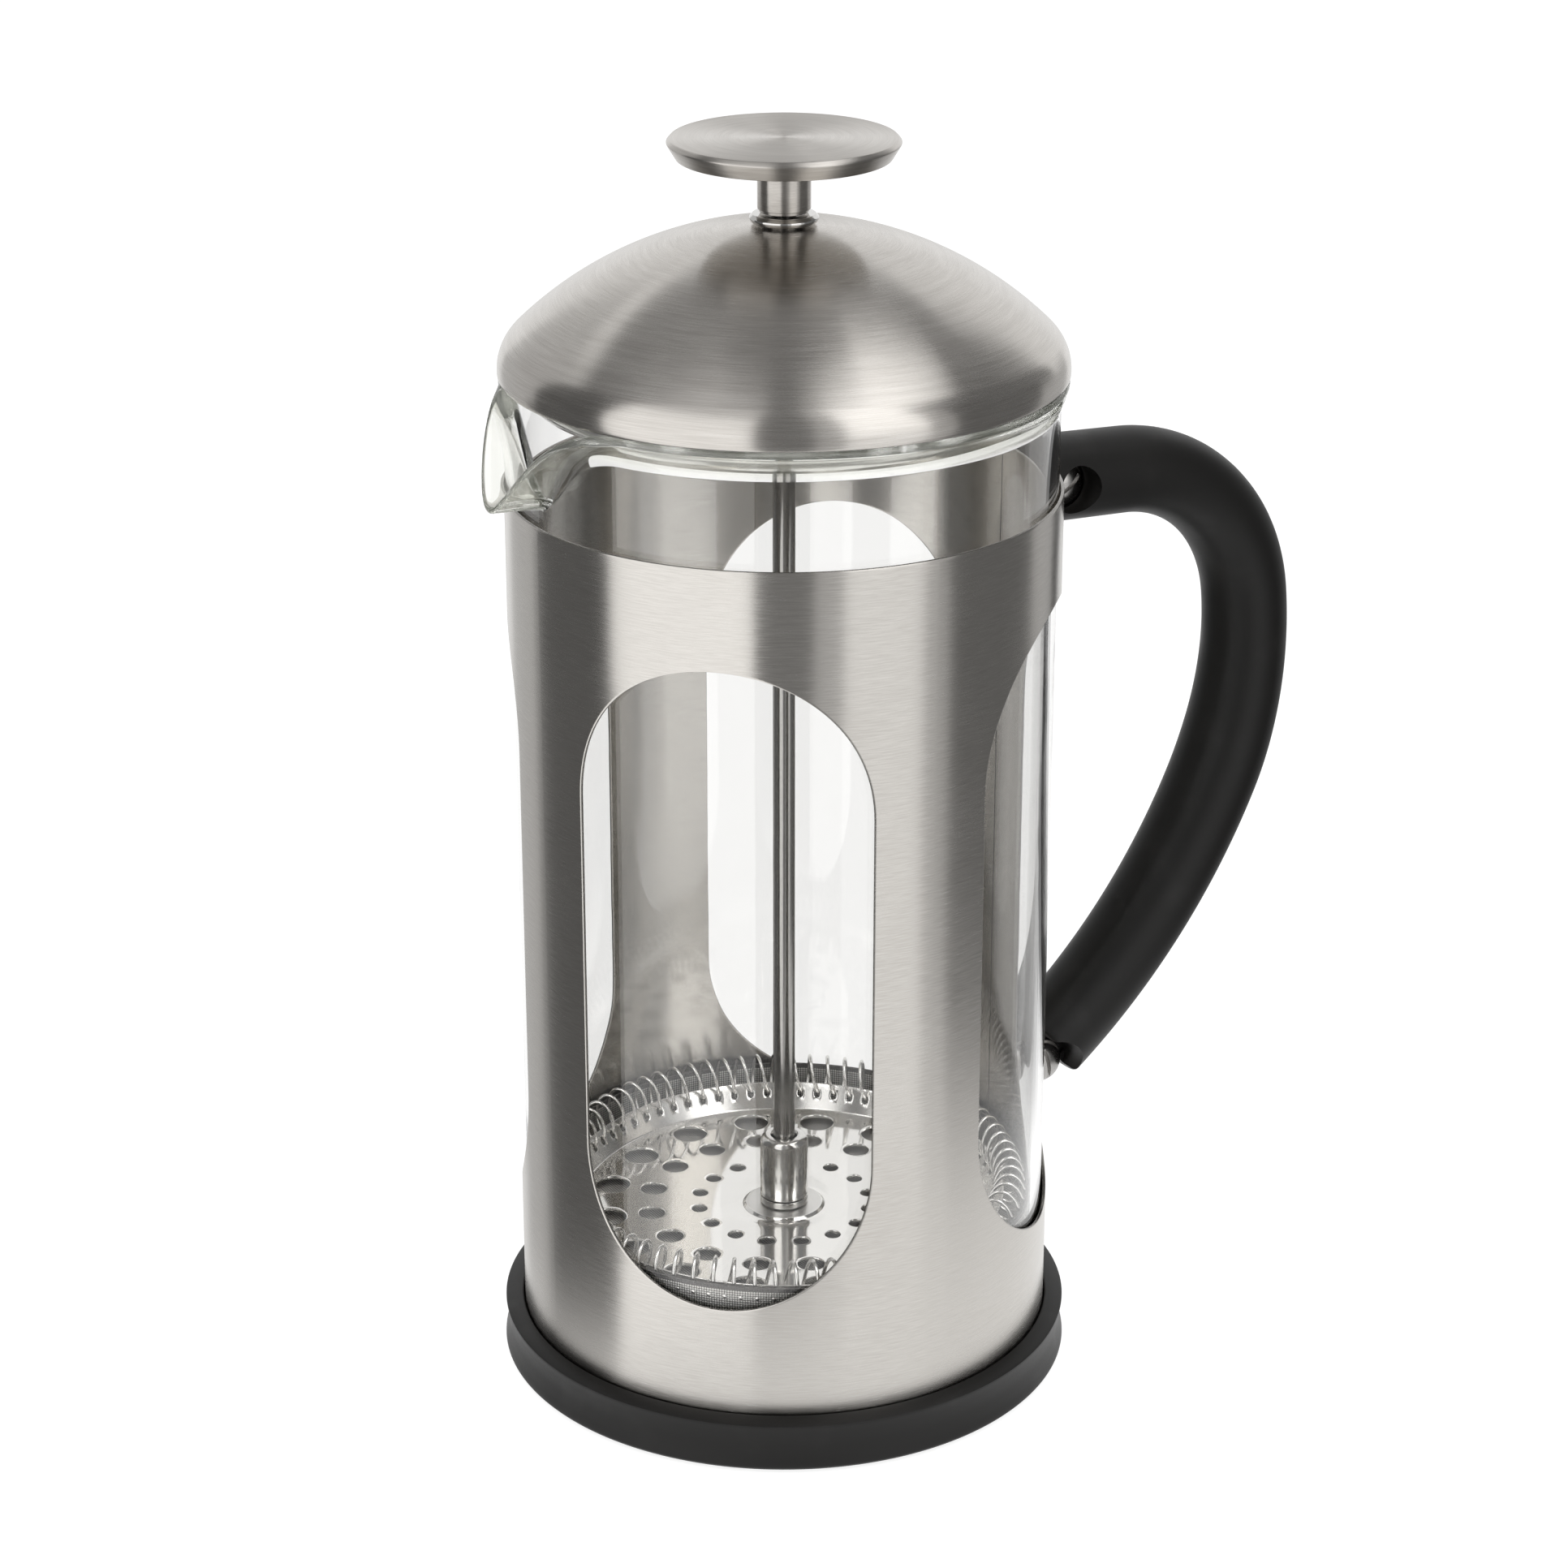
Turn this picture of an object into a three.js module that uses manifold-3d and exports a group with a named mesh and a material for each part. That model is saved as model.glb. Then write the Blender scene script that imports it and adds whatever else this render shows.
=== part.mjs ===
// French press: a glass beaker in a windowed steel sleeve, with a lid, a plunger and a filter.
// Millimetres, +Z up. The origin is on the beaker's axis at the foot's underside.
// The handle points along +X and the spout along -X.

import * as THREE from "three";
import { mergeVertices } from "three/addons/utils/BufferGeometryUtils.js";
import Module from "manifold-3d";

const wasm = await Module();
wasm.setup();

// ---------------------------------------------------------------- driving dimensions

// Fits
const FIT_GAP = 0.3; // between touching pieces
const BORE_PLAY = 0.3; // radial, round a shaft or a screw

// Mesh resolution
const RING_SIDES = 48;
const BEAKER_SIDES = 60;
const SMALL_SIDES = 20;
const HOLE_SIDES = 6;
const GRIP_SIDES = 16;
const NUT_SIDES = 6;
const WELD_TOLERANCE = 1e-4;
const QUARTER = THREE.MathUtils.radToDeg(Math.PI / 2);

// Sheet thicknesses
const SLEEVE_SHEET = 0.6;
const DOME_SHEET = 0.8;
const SKIRT_SHEET = 0.6;
const PLATE_SHEET = 0.6;
const MESH_SHEET = 0.4;
const CROSS_SHEET = 0.8;

// Foot
const FOOT_FLOOR = 4.6;
const FOOT_WALL = 3.3;
const FOOT_RIM_HEIGHT = 5;
const FOOT_RIM_FALL = 0.4; // the rim's outer edge lies this far below its inner edge
const FOOT_RIM_EDGE = 0.4;
const FOOT_WAIST = 0.45;
const FOOT_WAIST_HEIGHT = 5.2;
const FOOT_FLARE = 0.2;
const FOOT_EDGE = 0.8;

// Beaker
const BEAKER_BORE = 45.9;
const BEAKER_WALL = 1.9;
const BEAKER_FLOOR = 2.5;
const BEAKER_HEIGHT = 182.2;
const BEAKER_HEEL = 5;
const HEEL_STEPS = 3;
const BEAD_RADIUS = 1;
const RIM_FLARE = 1.35;
const RIM_FLARE_HEIGHT = 4.2;
const FLARE_ROWS = 5;

// Spout
const SPOUT_HALF_ANGLE = 20.6;
const SPOUT_TIP_ROUNDING = 6;
const SPOUT_REACH = 8.7;
const SPOUT_REACH_POWER = 1.75;
const SPOUT_DROP = 14.6;
const SPOUT_DROP_POWER = 3.9;
const SPOUT_LIP_RISE = 1.2;
const SPOUT_NECK_POWER = 2.5;
const SPOUT_CLEARANCE = 3.5; // the sleeve's top stops this far below the spout

// Sleeve
const WINDOW_COUNT = 4;
const WINDOW_HALF_WIDTH = 27;
const WINDOW_LOW_MARGIN = 24.9;
const WINDOW_HIGH_MARGIN = 17.8;
const WINDOW_ARC_STEPS = 8;

// Handle
const GRIP_RADIUS = 8.2;
const GRIP_STANDOFF = 0.5;
const GRIP_DROP = 7.7;
const GRIP_START_DIP = 3.64;
const GRIP_STRAIGHT = 23.1;
const GRIP_SHOULDER_RADIUS = 32.4;
const GRIP_SHOULDER_ANGLE = 79.5;
const GRIP_BACK_RADIUS = 69.6;
const GRIP_BACK_ANGLE = 31.75;
const GRIP_TAIL_RADIUS = 123.7;
const GRIP_TAIL_STANDOFF = 9.949; // from the sleeve to the grip's lower end
const GRIP_STEPS = 36;
const GRIP_END_LEAN = 26.5;
const GRIP_END_BREAK = 6.2;
const TONGUE_ROOT = 8; // how far the tongue runs into the grip
const TONGUE = 2.4;
const TONGUE_TIP_RADIUS = 3.8;

// Clamp screws and ears
const SCREW_RADIUS = 2;
const SCREW_HEAD_RADIUS = 3.7;
const SCREW_HEAD_EDGE = 0.7;
const SCREW_HEAD_STEPS = 3;
const SCREW_HEAD_DOME = 1.5;
const SCREW_SLOT_WIDTH = 1;
const SCREW_SLOT_DEPTH = 1;
const UPPER_SLOT_TURN = -35;
const LOWER_SLOT_TURN = 80;
const SCREW_TAIL = 1;
const NUT_FLATS = 7;
const NUT_HEIGHT = 2.4;
const COUNTERBORE_PLAY = 0.9;
const EAR_RADIUS = 4.3;
const NOTCH_PLAY = 1.7;
const UPPER_SCREW_REACH = 9.2;
const UPPER_SCREW_DROP = 0.7;
const LOWER_SCREW_BEYOND = 3.2;
const LOWER_SCREW_DROP = 1;

// Lid
const DOME_OVERHANG = 0.15;
const DOME_RISE = 25.94;
const DOME_SHOULDER = 8;
const DOME_SHOULDER_HEIGHT = 1.1;
const DOME_CAP_STEPS = 5;
const DOME_SHOULDER_STEPS = 3;
const SKIRT_PLAY = 0.9;
const SKIRT_DEPTH = 4.6;
const SKIRT_HOLE_PLAY = 0.6;
const FERRULE_WALL = 1.1;
const FERRULE_FLANGE_RADIUS = 5.5;
const FERRULE_FLANGE_HEIGHT = 1.4;
const FERRULE_EDGE = 0.5;
const FERRULE_DEPTH = 6;
const FERRULE_NUT_RADIUS = 6;
const FERRULE_NUT_HEIGHT = 2.4;
const FERRULE_NUT_DROP = 0.3;

// Plunger
const ROD_RADIUS = 2;
const NECK_RADIUS = 4.4;
const NECK_HEIGHT = 9;
const KNOB_RADIUS = 20;
const KNOB_BEVEL = 1.6;
const KNOB_THICKNESS = 3.4;
const KNOB_EDGE = 0.7;
const KNOB_SKIN = 1.2;

// Filter
const FILTER_LIFT = 19.6;
const PLATE_RIM_RUN = 2.2;
const PLATE_RIM_RISE = 3.6;
const PLATE_PAD_RADIUS = 7.3;
const PLATE_DIMPLE_RADIUS = 11;
const PLATE_DIMPLE_DEPTH = 0.5;
const HOLE_COUNT = 16;
const HOLE_START_ANGLE = 2.25;
const INNER_RING_INSET = 22;
const INNER_HOLE_RADIUS = 1.4;
const MIDDLE_RING_INSET = 13;
const MIDDLE_HOLE_RADIUS = 2.4;
const OUTER_RING_INSET = 5;
const OUTER_HOLE_RADIUS = 3.2;
const HOLE_RINGS = [
  { inset: INNER_RING_INSET, hole: INNER_HOLE_RADIUS },
  { inset: MIDDLE_RING_INSET, hole: MIDDLE_HOLE_RADIUS },
  { inset: OUTER_RING_INSET, hole: OUTER_HOLE_RADIUS },
];
const COIL_RADIUS = 2.05;
const COIL_WIRE = 0.35;
const COIL_TURNS = 76;
const COIL_STEPS_PER_TURN = 5;
const COIL_WIRE_SIDES = 4;
const COIL_JOINT_ANGLE = 2;
const COIL_RISE = 6;
const MESH_HEM_DROP = 0.5; // the mesh's edge ends this far below the coil's centre
const HUB_RADIUS = 4.45;
const HUB_HEIGHT = 12.1;
const HUB_SHOULDER = 1.5;
const HUB_FLOOR = 1.4;
const WASHER_RADIUS = 4.7;
const WASHER_HEIGHT = 1.2;
const SPIGOT_RADIUS = 2.7;
const SPIGOT_TAIL = 0.6;
const CROSS_INSET = 8.3;
const CROSS_ARM_WIDTH = 9;
const CROSS_CENTRE_RADIUS = 10;
const CROSS_ARMS = 4;
const FILTER_NUT_FLATS = 9;
const FILTER_NUT_HEIGHT = 3;

// ---------------------------------------------------------------- derived places

const BEAKER_BOTTOM = FOOT_FLOOR + FIT_GAP;
const BEAKER_OUTER = BEAKER_BORE + BEAKER_WALL;
const BEAKER_MIDDLE = BEAKER_BORE + BEAKER_WALL / 2;
const BEAKER_TOP = BEAKER_BOTTOM + BEAKER_HEIGHT;
const BEAD_CENTRE_HEIGHT = BEAKER_TOP - BEAD_RADIUS;
const BEAD_CENTRE_RADIUS = BEAKER_MIDDLE + RIM_FLARE;
const FLARE_START = BEAD_CENTRE_HEIGHT - RIM_FLARE_HEIGHT;
const SPOUT_LIP = BEAD_CENTRE_HEIGHT - SPOUT_DROP;
const SPOUT_NECK = SPOUT_LIP - SPOUT_LIP_RISE;
const SLEEVE_BOTTOM = FOOT_FLOOR + FIT_GAP;
const SLEEVE_TOP = SPOUT_NECK - SPOUT_CLEARANCE;
const SLEEVE_INNER = BEAKER_OUTER + FIT_GAP;
const SLEEVE_OUTER = SLEEVE_INNER + SLEEVE_SHEET;
const FOOT_INNER = SLEEVE_OUTER + FIT_GAP;
const FOOT_RIM = FOOT_INNER + FOOT_WALL;
const FOOT_WIDEST = FOOT_RIM + FOOT_FLARE;
const FOOT_TOP = FOOT_FLOOR + FOOT_RIM_HEIGHT;

const EAR_INNER_FACE = TONGUE / 2 + FIT_GAP;
const EAR_OUTER_FACE = EAR_INNER_FACE + SLEEVE_SHEET;
const CHEEK_FACE = EAR_OUTER_FACE + FIT_GAP;
const GRIP_START = new THREE.Vector2(SLEEVE_OUTER + GRIP_STANDOFF, SLEEVE_TOP - GRIP_DROP);
const UPPER_SCREW = new THREE.Vector2(
  SLEEVE_OUTER + UPPER_SCREW_REACH,
  GRIP_START.y - UPPER_SCREW_REACH * Math.tan(radians(GRIP_START_DIP)) - UPPER_SCREW_DROP,
);

const GRIP_BENDS = [
  { radius: GRIP_SHOULDER_RADIUS, turn: radians(GRIP_SHOULDER_ANGLE) },
  { radius: GRIP_BACK_RADIUS, turn: radians(GRIP_BACK_ANGLE) },
];
GRIP_BENDS.push({ radius: GRIP_TAIL_RADIUS, turn: tailTurn() });

const LID_SEAT = BEAKER_TOP + FIT_GAP;
const DOME_WIDEST = BEAD_CENTRE_RADIUS + BEAD_RADIUS + DOME_OVERHANG;
const DOME_APEX = BEAKER_TOP + DOME_RISE;
const FLANGE_BOTTOM = DOME_APEX + FIT_GAP;
const FLANGE_TOP = FLANGE_BOTTOM + FERRULE_FLANGE_HEIGHT;
const FERRULE_BORE = ROD_RADIUS + BORE_PLAY;
const FERRULE_OUTER = FERRULE_BORE + FERRULE_WALL;
const SKIRT_BOTTOM = LID_SEAT - SKIRT_DEPTH;

const NECK_BOTTOM = FLANGE_TOP + FIT_GAP;
const NECK_TOP = NECK_BOTTOM + NECK_HEIGHT;
const KNOB_BOTTOM = NECK_TOP + FIT_GAP;
const KNOB_TOP = KNOB_BOTTOM + KNOB_THICKNESS;
const ROD_TOP = KNOB_TOP - KNOB_SKIN - FIT_GAP;

const PLATE_TOP = BEAKER_BOTTOM + BEAKER_FLOOR + FILTER_LIFT;
const WASHER_BOTTOM = PLATE_TOP + FIT_GAP;
const HUB_BOTTOM = WASHER_BOTTOM + WASHER_HEIGHT + FIT_GAP;
const HUB_TOP = HUB_BOTTOM + HUB_HEIGHT;
const STACK_BORE = SPIGOT_RADIUS + BORE_PLAY;
const ROD_BOTTOM = HUB_BOTTOM + HUB_FLOOR + FIT_GAP;
const MESH_OUTER = BEAKER_BORE - FIT_GAP;
const COIL_REACH = COIL_RADIUS + COIL_WIRE;
const COIL_RING = MESH_OUTER - MESH_SHEET - FIT_GAP - COIL_REACH;
const COIL_HEIGHT = PLATE_TOP + COIL_RISE;
const RIM_HEIGHT = PLATE_TOP + PLATE_RIM_RISE;
const RIM_GAP = COIL_REACH + 2 * FIT_GAP + PLATE_SHEET / 2;
const RIM_RADIUS = COIL_RING - Math.sqrt(Math.max(0, RIM_GAP ** 2 - (COIL_HEIGHT - RIM_HEIGHT) ** 2));
const PLATE_FLAT_RADIUS = RIM_RADIUS - PLATE_RIM_RUN;
const MESH_TOP = PLATE_TOP - PLATE_SHEET - PLATE_DIMPLE_DEPTH - FIT_GAP;
const CROSS_TOP = MESH_TOP - MESH_SHEET - FIT_GAP;
const FILTER_NUT_TOP = CROSS_TOP - CROSS_SHEET - FIT_GAP;
const SPIGOT_BOTTOM = FILTER_NUT_TOP - FILTER_NUT_HEIGHT - SPIGOT_TAIL;

// ---------------------------------------------------------------- materials

const brushedSteel = { color: 0xb9b6b1, roughness: 0.34, metalness: 1 };
const polishedSteel = { color: 0xd4d3d0, roughness: 0.12, metalness: 1 };
const wovenSteel = { color: 0x9a9893, roughness: 0.5, metalness: 1 };
const blackPlastic = { color: 0x1c1b1a, roughness: 0.55, metalness: 0 };
const clearGlass = { color: 0xeef3ee, roughness: 0.03, metalness: 0, transparent: true, opacity: 0.3 };

// ---------------------------------------------------------------- geometry helpers

function radians(degrees) {
  return (degrees * Math.PI) / 180;
}

/** Weld shared vertices, drop the slivers at a lathe's poles and keep positions only. */
function welded(geometry) {
  const bare = geometry.clone();
  bare.deleteAttribute("normal");
  bare.deleteAttribute("uv");
  const merged = mergeVertices(bare, WELD_TOLERANCE);
  const source = merged.index.array;
  const kept = [];
  for (let i = 0; i < source.length; i += 3) {
    const [a, b, c] = [source[i], source[i + 1], source[i + 2]];
    if (a !== b && b !== c && c !== a) kept.push(a, b, c);
  }
  merged.setIndex(kept);
  return merged;
}

/** Turn a closed geometry into a solid that can be joined and cut. */
function solid(geometry) {
  const closed = welded(geometry);
  return new wasm.Manifold(
    new wasm.Mesh({
      numProp: 3,
      vertProperties: new Float32Array(closed.attributes.position.array),
      triVerts: new Uint32Array(closed.index.array),
    }),
  );
}

/** Turn a solid back into a geometry. */
function geometryOf(body) {
  const mesh = body.getMesh();
  const geometry = new THREE.BufferGeometry();
  geometry.setAttribute("position", new THREE.BufferAttribute(new Float32Array(mesh.vertProperties), 3));
  geometry.setIndex(Array.from(mesh.triVerts));
  geometry.computeVertexNormals();
  return geometry;
}

/** Revolve a profile of [radius, height] about Z; it runs up the outside and down the inside. */
function revolve(profile, sides) {
  const points = profile.map(([radius, height]) => new THREE.Vector2(radius, height));
  return new THREE.LatheGeometry(points, sides).rotateX(Math.PI / 2);
}

/** Revolve a closed ring profile, joining its last point to its first. */
function revolveRing(profile, sides) {
  return revolve([...profile, profile[0]], sides);
}

/** A plain ring or sleeve between two radii and two heights. */
function tube(inner, outer, bottom, top, sides) {
  return revolveRing([[inner, bottom], [outer, bottom], [outer, top], [inner, top]], sides);
}

/** Points on an arc, from one angle to another in degrees, as [radius, height] pairs. */
function arc(centreRadius, centreHeight, radius, from, to, steps) {
  return Array.from({ length: steps + 1 }, (_, i) => {
    const angle = radians(from + ((to - from) * i) / steps);
    return [centreRadius + radius * Math.cos(angle), centreHeight + radius * Math.sin(angle)];
  });
}

/** A box between two opposite corners. */
function block(low, high) {
  const size = high.map((value, axis) => value - low[axis]);
  const centre = high.map((value, axis) => (value + low[axis]) / 2);
  return new THREE.BoxGeometry(...size).translate(...centre);
}

/** A round bar along Y at a place in the XZ plane. */
function barAlongY(place, radius, from, to, sides) {
  const bar = new THREE.CylinderGeometry(radius, radius, to - from, sides);
  return bar.translate(place.x, (from + to) / 2, place.y);
}

/** A many-sided outline round the origin. */
function ringOutline(radius, sides) {
  const corners = Array.from({ length: sides }, (_, i) => {
    const angle = radians((360 * i) / sides);
    return new THREE.Vector2(radius * Math.cos(angle), radius * Math.sin(angle));
  });
  return new THREE.Shape(corners);
}

/** A hexagonal nut with a bore, standing on Z = 0 round the Z axis. */
function nut(acrossFlats, bore, height) {
  const corner = acrossFlats / 2 / Math.cos(radians(180 / NUT_SIDES));
  const options = { depth: height, bevelEnabled: false };
  const body = new THREE.ExtrudeGeometry(ringOutline(corner, NUT_SIDES), options);
  const drill = new THREE.CylinderGeometry(bore, bore, 4 * height, SMALL_SIDES).rotateX(Math.PI / 2);
  return geometryOf(solid(body).subtract(solid(drill)));
}

/** A named mesh with its own material. */
function piece(name, geometry, look) {
  const mesh = new THREE.Mesh(geometry, new THREE.MeshStandardMaterial(look));
  mesh.name = name;
  return mesh;
}

function groupOf(...members) {
  const group = new THREE.Group();
  group.add(...members);
  return group;
}

// ---------------------------------------------------------------- pot

/** The turn of the grip's last bend, which brings its end back to its standoff from the sleeve. */
function tailTurn() {
  let heading = radians(-GRIP_START_DIP);
  let x = GRIP_START.x + GRIP_STRAIGHT * Math.cos(heading);
  for (const { radius, turn } of GRIP_BENDS) {
    x += radius * (Math.sin(heading) - Math.sin(heading - turn));
    heading -= turn;
  }
  const way = SLEEVE_OUTER + GRIP_TAIL_STANDOFF - x;
  return heading + Math.PI + Math.asin(Math.sin(heading) - way / GRIP_TAIL_RADIUS);
}

/** The handle's centre line: a straight and then bends of known radius and turn. */
class GripCurve extends THREE.Curve {
  constructor() {
    super();
    this.total = GRIP_BENDS.reduce((sum, { radius, turn }) => sum + radius * turn, GRIP_STRAIGHT);
  }

  getPoint(t, target = new THREE.Vector3()) {
    let left = t * this.total;
    let heading = radians(-GRIP_START_DIP);
    const along = Math.min(left, GRIP_STRAIGHT);
    let x = GRIP_START.x + along * Math.cos(heading);
    let z = GRIP_START.y + along * Math.sin(heading);
    left -= along;
    for (const bend of GRIP_BENDS) {
      const turn = Math.min(left / bend.radius, bend.turn);
      x += bend.radius * (Math.sin(heading) - Math.sin(heading - turn));
      z += bend.radius * (Math.cos(heading - turn) - Math.cos(heading));
      heading -= turn;
      left = Math.max(0, left - bend.radius * turn);
    }
    return target.set(x, 0, z);
  }
}

const gripLine = new GripCurve();

/** The lower screw lies just beyond the grip's end and a little below its centre line. */
function lowerScrewPlace() {
  const end = gripLine.getPoint(1);
  const along = gripLine.getTangent(1);
  return new THREE.Vector2(
    end.x + along.x * LOWER_SCREW_BEYOND - along.z * LOWER_SCREW_DROP,
    end.z + along.z * LOWER_SCREW_BEYOND + along.x * LOWER_SCREW_DROP,
  );
}

const LOWER_SCREW = lowerScrewPlace();

/** The cup that the beaker stands in: its wall is drawn in a little between its two edges. */
function foot() {
  const shoulder = FOOT_TOP - FOOT_RIM_FALL;
  const profile = [
    [0, 0],
    [FOOT_WIDEST - FOOT_EDGE, 0],
    [FOOT_WIDEST, FOOT_EDGE],
    [FOOT_RIM - FOOT_WAIST, FOOT_WAIST_HEIGHT],
    [FOOT_RIM, shoulder - FOOT_RIM_EDGE],
    [FOOT_RIM - FOOT_RIM_EDGE, shoulder],
    [FOOT_INNER, FOOT_TOP],
    [FOOT_INNER, FOOT_FLOOR],
    [0, FOOT_FLOOR],
  ];
  return piece("base_cup", welded(revolve(profile, RING_SIDES)), blackPlastic);
}

/** How far the glass is pulled into the spout at an offset from its middle, from 0 to 1. */
function spoutShare(offset) {
  const rounded = Math.hypot(offset, SPOUT_TIP_ROUNDING) - SPOUT_TIP_ROUNDING;
  return Math.max(0, 1 - rounded / SPOUT_HALF_ANGLE);
}

/** The wall's middle line above the neck, at a share of the way from the neck to the lip. */
function flarePoint(share, offset) {
  const pull = spoutShare(offset);
  const neck = THREE.MathUtils.lerp(FLARE_START, SPOUT_NECK, pull ** SPOUT_NECK_POWER);
  const lipRadius = BEAD_CENTRE_RADIUS + SPOUT_REACH * pull ** SPOUT_REACH_POWER;
  const lipHeight = BEAD_CENTRE_HEIGHT - SPOUT_DROP * pull ** SPOUT_DROP_POWER;
  const turn = (share * Math.PI) / 2;
  const bend = 1 - Math.cos(turn);
  return {
    radius: THREE.MathUtils.lerp(BEAKER_MIDDLE, lipRadius, THREE.MathUtils.lerp(bend, share ** 2, 1 - pull)),
    height: THREE.MathUtils.lerp(neck, lipHeight, THREE.MathUtils.lerp(Math.sin(turn), share, 1 - pull)),
  };
}

/** The middle line's direction, as the unit vector [radial, upward]. */
function flareDirection(share, offset) {
  const step = 0.01;
  const before = flarePoint(Math.max(0, share - step), offset);
  const after = flarePoint(Math.min(1, share + step), offset);
  const length = Math.hypot(after.radius - before.radius, after.height - before.height);
  return [(after.radius - before.radius) / length, (after.height - before.height) / length];
}

/** A point of the beaker's upper wall; side is 1 outside, -1 inside and 0 on top of the bead. */
function upperWallPoint(share, side, offset) {
  const { radius, height } = flarePoint(share, offset);
  const [radial, upward] = flareDirection(share, offset);
  const half = THREE.MathUtils.lerp(BEAKER_WALL / 2, BEAD_RADIUS, share ** 4);
  if (side === 0) return [radius + radial * BEAD_RADIUS, height + upward * BEAD_RADIUS];
  return [radius + side * upward * half, height - side * radial * half];
}

function beaker() {
  const insideBottom = BEAKER_BOTTOM + BEAKER_FLOOR;
  const innerHeel = BEAKER_HEEL - BEAKER_WALL;
  const rows = Array.from({ length: FLARE_ROWS }, (_, i) => i / (FLARE_ROWS - 1));
  const upper = [
    ...rows.map((share) => ({ share, side: 1 })),
    { share: 1, side: 0 },
    ...rows.toReversed().map((share) => ({ share, side: -1 })),
  ];
  const lower = [
    [0, BEAKER_BOTTOM],
    ...arc(BEAKER_OUTER - BEAKER_HEEL, BEAKER_BOTTOM + BEAKER_HEEL, BEAKER_HEEL, -QUARTER, 0, HEEL_STEPS),
  ];
  const inside = [
    ...arc(BEAKER_BORE - innerHeel, insideBottom + innerHeel, innerHeel, 0, -QUARTER, HEEL_STEPS),
    [0, insideBottom],
  ];
  const profile = [...lower, ...upper.map(() => [BEAKER_MIDDLE, FLARE_START]), ...inside];
  const geometry = revolve(profile, BEAKER_SIDES);
  const position = geometry.attributes.position;
  for (let i = 0; i < position.count; i += 1) {
    const row = upper[(i % profile.length) - lower.length];
    if (!row) continue;
    const angle = Math.atan2(position.getY(i), position.getX(i));
    const offset = THREE.MathUtils.radToDeg(Math.PI - Math.abs(angle));
    const [radius, height] = upperWallPoint(row.share, row.side, offset);
    position.setXYZ(i, radius * Math.cos(angle), radius * Math.sin(angle), height);
  }
  return piece("glass_beaker", welded(geometry), clearGlass);
}

/** A stadium cut through the sleeve, laid out flat and then wrapped round the axis. */
function windowCutter(middleAngle) {
  const lowCentre = SLEEVE_BOTTOM + WINDOW_LOW_MARGIN + WINDOW_HALF_WIDTH;
  const highCentre = SLEEVE_TOP - WINDOW_HIGH_MARGIN - WINDOW_HALF_WIDTH;
  const outline = new THREE.Shape();
  outline.absarc(0, highCentre, WINDOW_HALF_WIDTH, 0, Math.PI, false);
  outline.absarc(0, lowCentre, WINDOW_HALF_WIDTH, Math.PI, 2 * Math.PI, false);
  const nearRadius = SLEEVE_INNER / 2;
  const farRadius = SLEEVE_OUTER * 2;
  const options = { depth: 1, bevelEnabled: false, curveSegments: WINDOW_ARC_STEPS };
  const flat = new THREE.ExtrudeGeometry(outline, options);
  const position = flat.attributes.position;
  for (let i = 0; i < position.count; i += 1) {
    const angle = radians(middleAngle) + position.getX(i) / SLEEVE_OUTER;
    const radius = THREE.MathUtils.lerp(nearRadius, farRadius, position.getZ(i));
    position.setXYZ(i, radius * Math.cos(angle), radius * Math.sin(angle), position.getY(i));
  }
  return flat;
}

/** One ear: a flat tab with a round end, lying in a plane of constant Y. */
function ear(place, side) {
  const root = SLEEVE_INNER + SLEEVE_SHEET / 2;
  const outline = new THREE.Shape();
  outline.moveTo(root, place.y - EAR_RADIUS);
  outline.absarc(place.x, place.y, EAR_RADIUS, -Math.PI / 2, Math.PI / 2, false);
  outline.lineTo(root, place.y + EAR_RADIUS);
  outline.closePath();
  const options = { depth: SLEEVE_SHEET, bevelEnabled: false, curveSegments: SMALL_SIDES / 2 };
  const tab = new THREE.ExtrudeGeometry(outline, options).rotateX(Math.PI / 2);
  return tab.translate(0, side > 0 ? EAR_OUTER_FACE : -EAR_INNER_FACE, 0);
}

function sleeve() {
  let sheet = solid(tube(SLEEVE_INNER, SLEEVE_OUTER, SLEEVE_BOTTOM, SLEEVE_TOP, RING_SIDES));
  for (let i = 0; i < WINDOW_COUNT; i += 1) {
    sheet = sheet.subtract(solid(windowCutter((360 / WINDOW_COUNT) * (i + 0.5))));
  }
  const slitLow = [0, -EAR_INNER_FACE, SLEEVE_BOTTOM - SLEEVE_SHEET];
  const slitHigh = [2 * SLEEVE_OUTER, EAR_INNER_FACE, SLEEVE_TOP + SLEEVE_SHEET];
  sheet = sheet.subtract(solid(block(slitLow, slitHigh)));
  const far = 2 * EAR_OUTER_FACE;
  for (const place of [UPPER_SCREW, LOWER_SCREW]) {
    const hole = barAlongY(place, SCREW_RADIUS + BORE_PLAY, -far, far, SMALL_SIDES);
    sheet = sheet.add(solid(ear(place, 1))).add(solid(ear(place, -1))).subtract(solid(hole));
  }
  return piece("frame_sleeve", geometryOf(sheet), brushedSteel);
}

/** The flat tongue between a pair of ears, from inside the grip to its round tip at the screw. */
function tongue(place, root) {
  const outline = new THREE.Shape();
  const direction = new THREE.Vector2(place.x - root.x, place.z - root.z);
  const angle = direction.angle();
  outline.absarc(place.x, place.z, TONGUE_TIP_RADIUS, angle - Math.PI / 2, angle + Math.PI / 2, false);
  outline.absarc(root.x, root.z, TONGUE_TIP_RADIUS, angle + Math.PI / 2, angle + 1.5 * Math.PI, false);
  outline.closePath();
  const options = { depth: TONGUE, bevelEnabled: false, curveSegments: SMALL_SIDES / 3 };
  return new THREE.ExtrudeGeometry(outline, options).rotateX(Math.PI / 2).translate(0, TONGUE / 2, 0);
}

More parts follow.
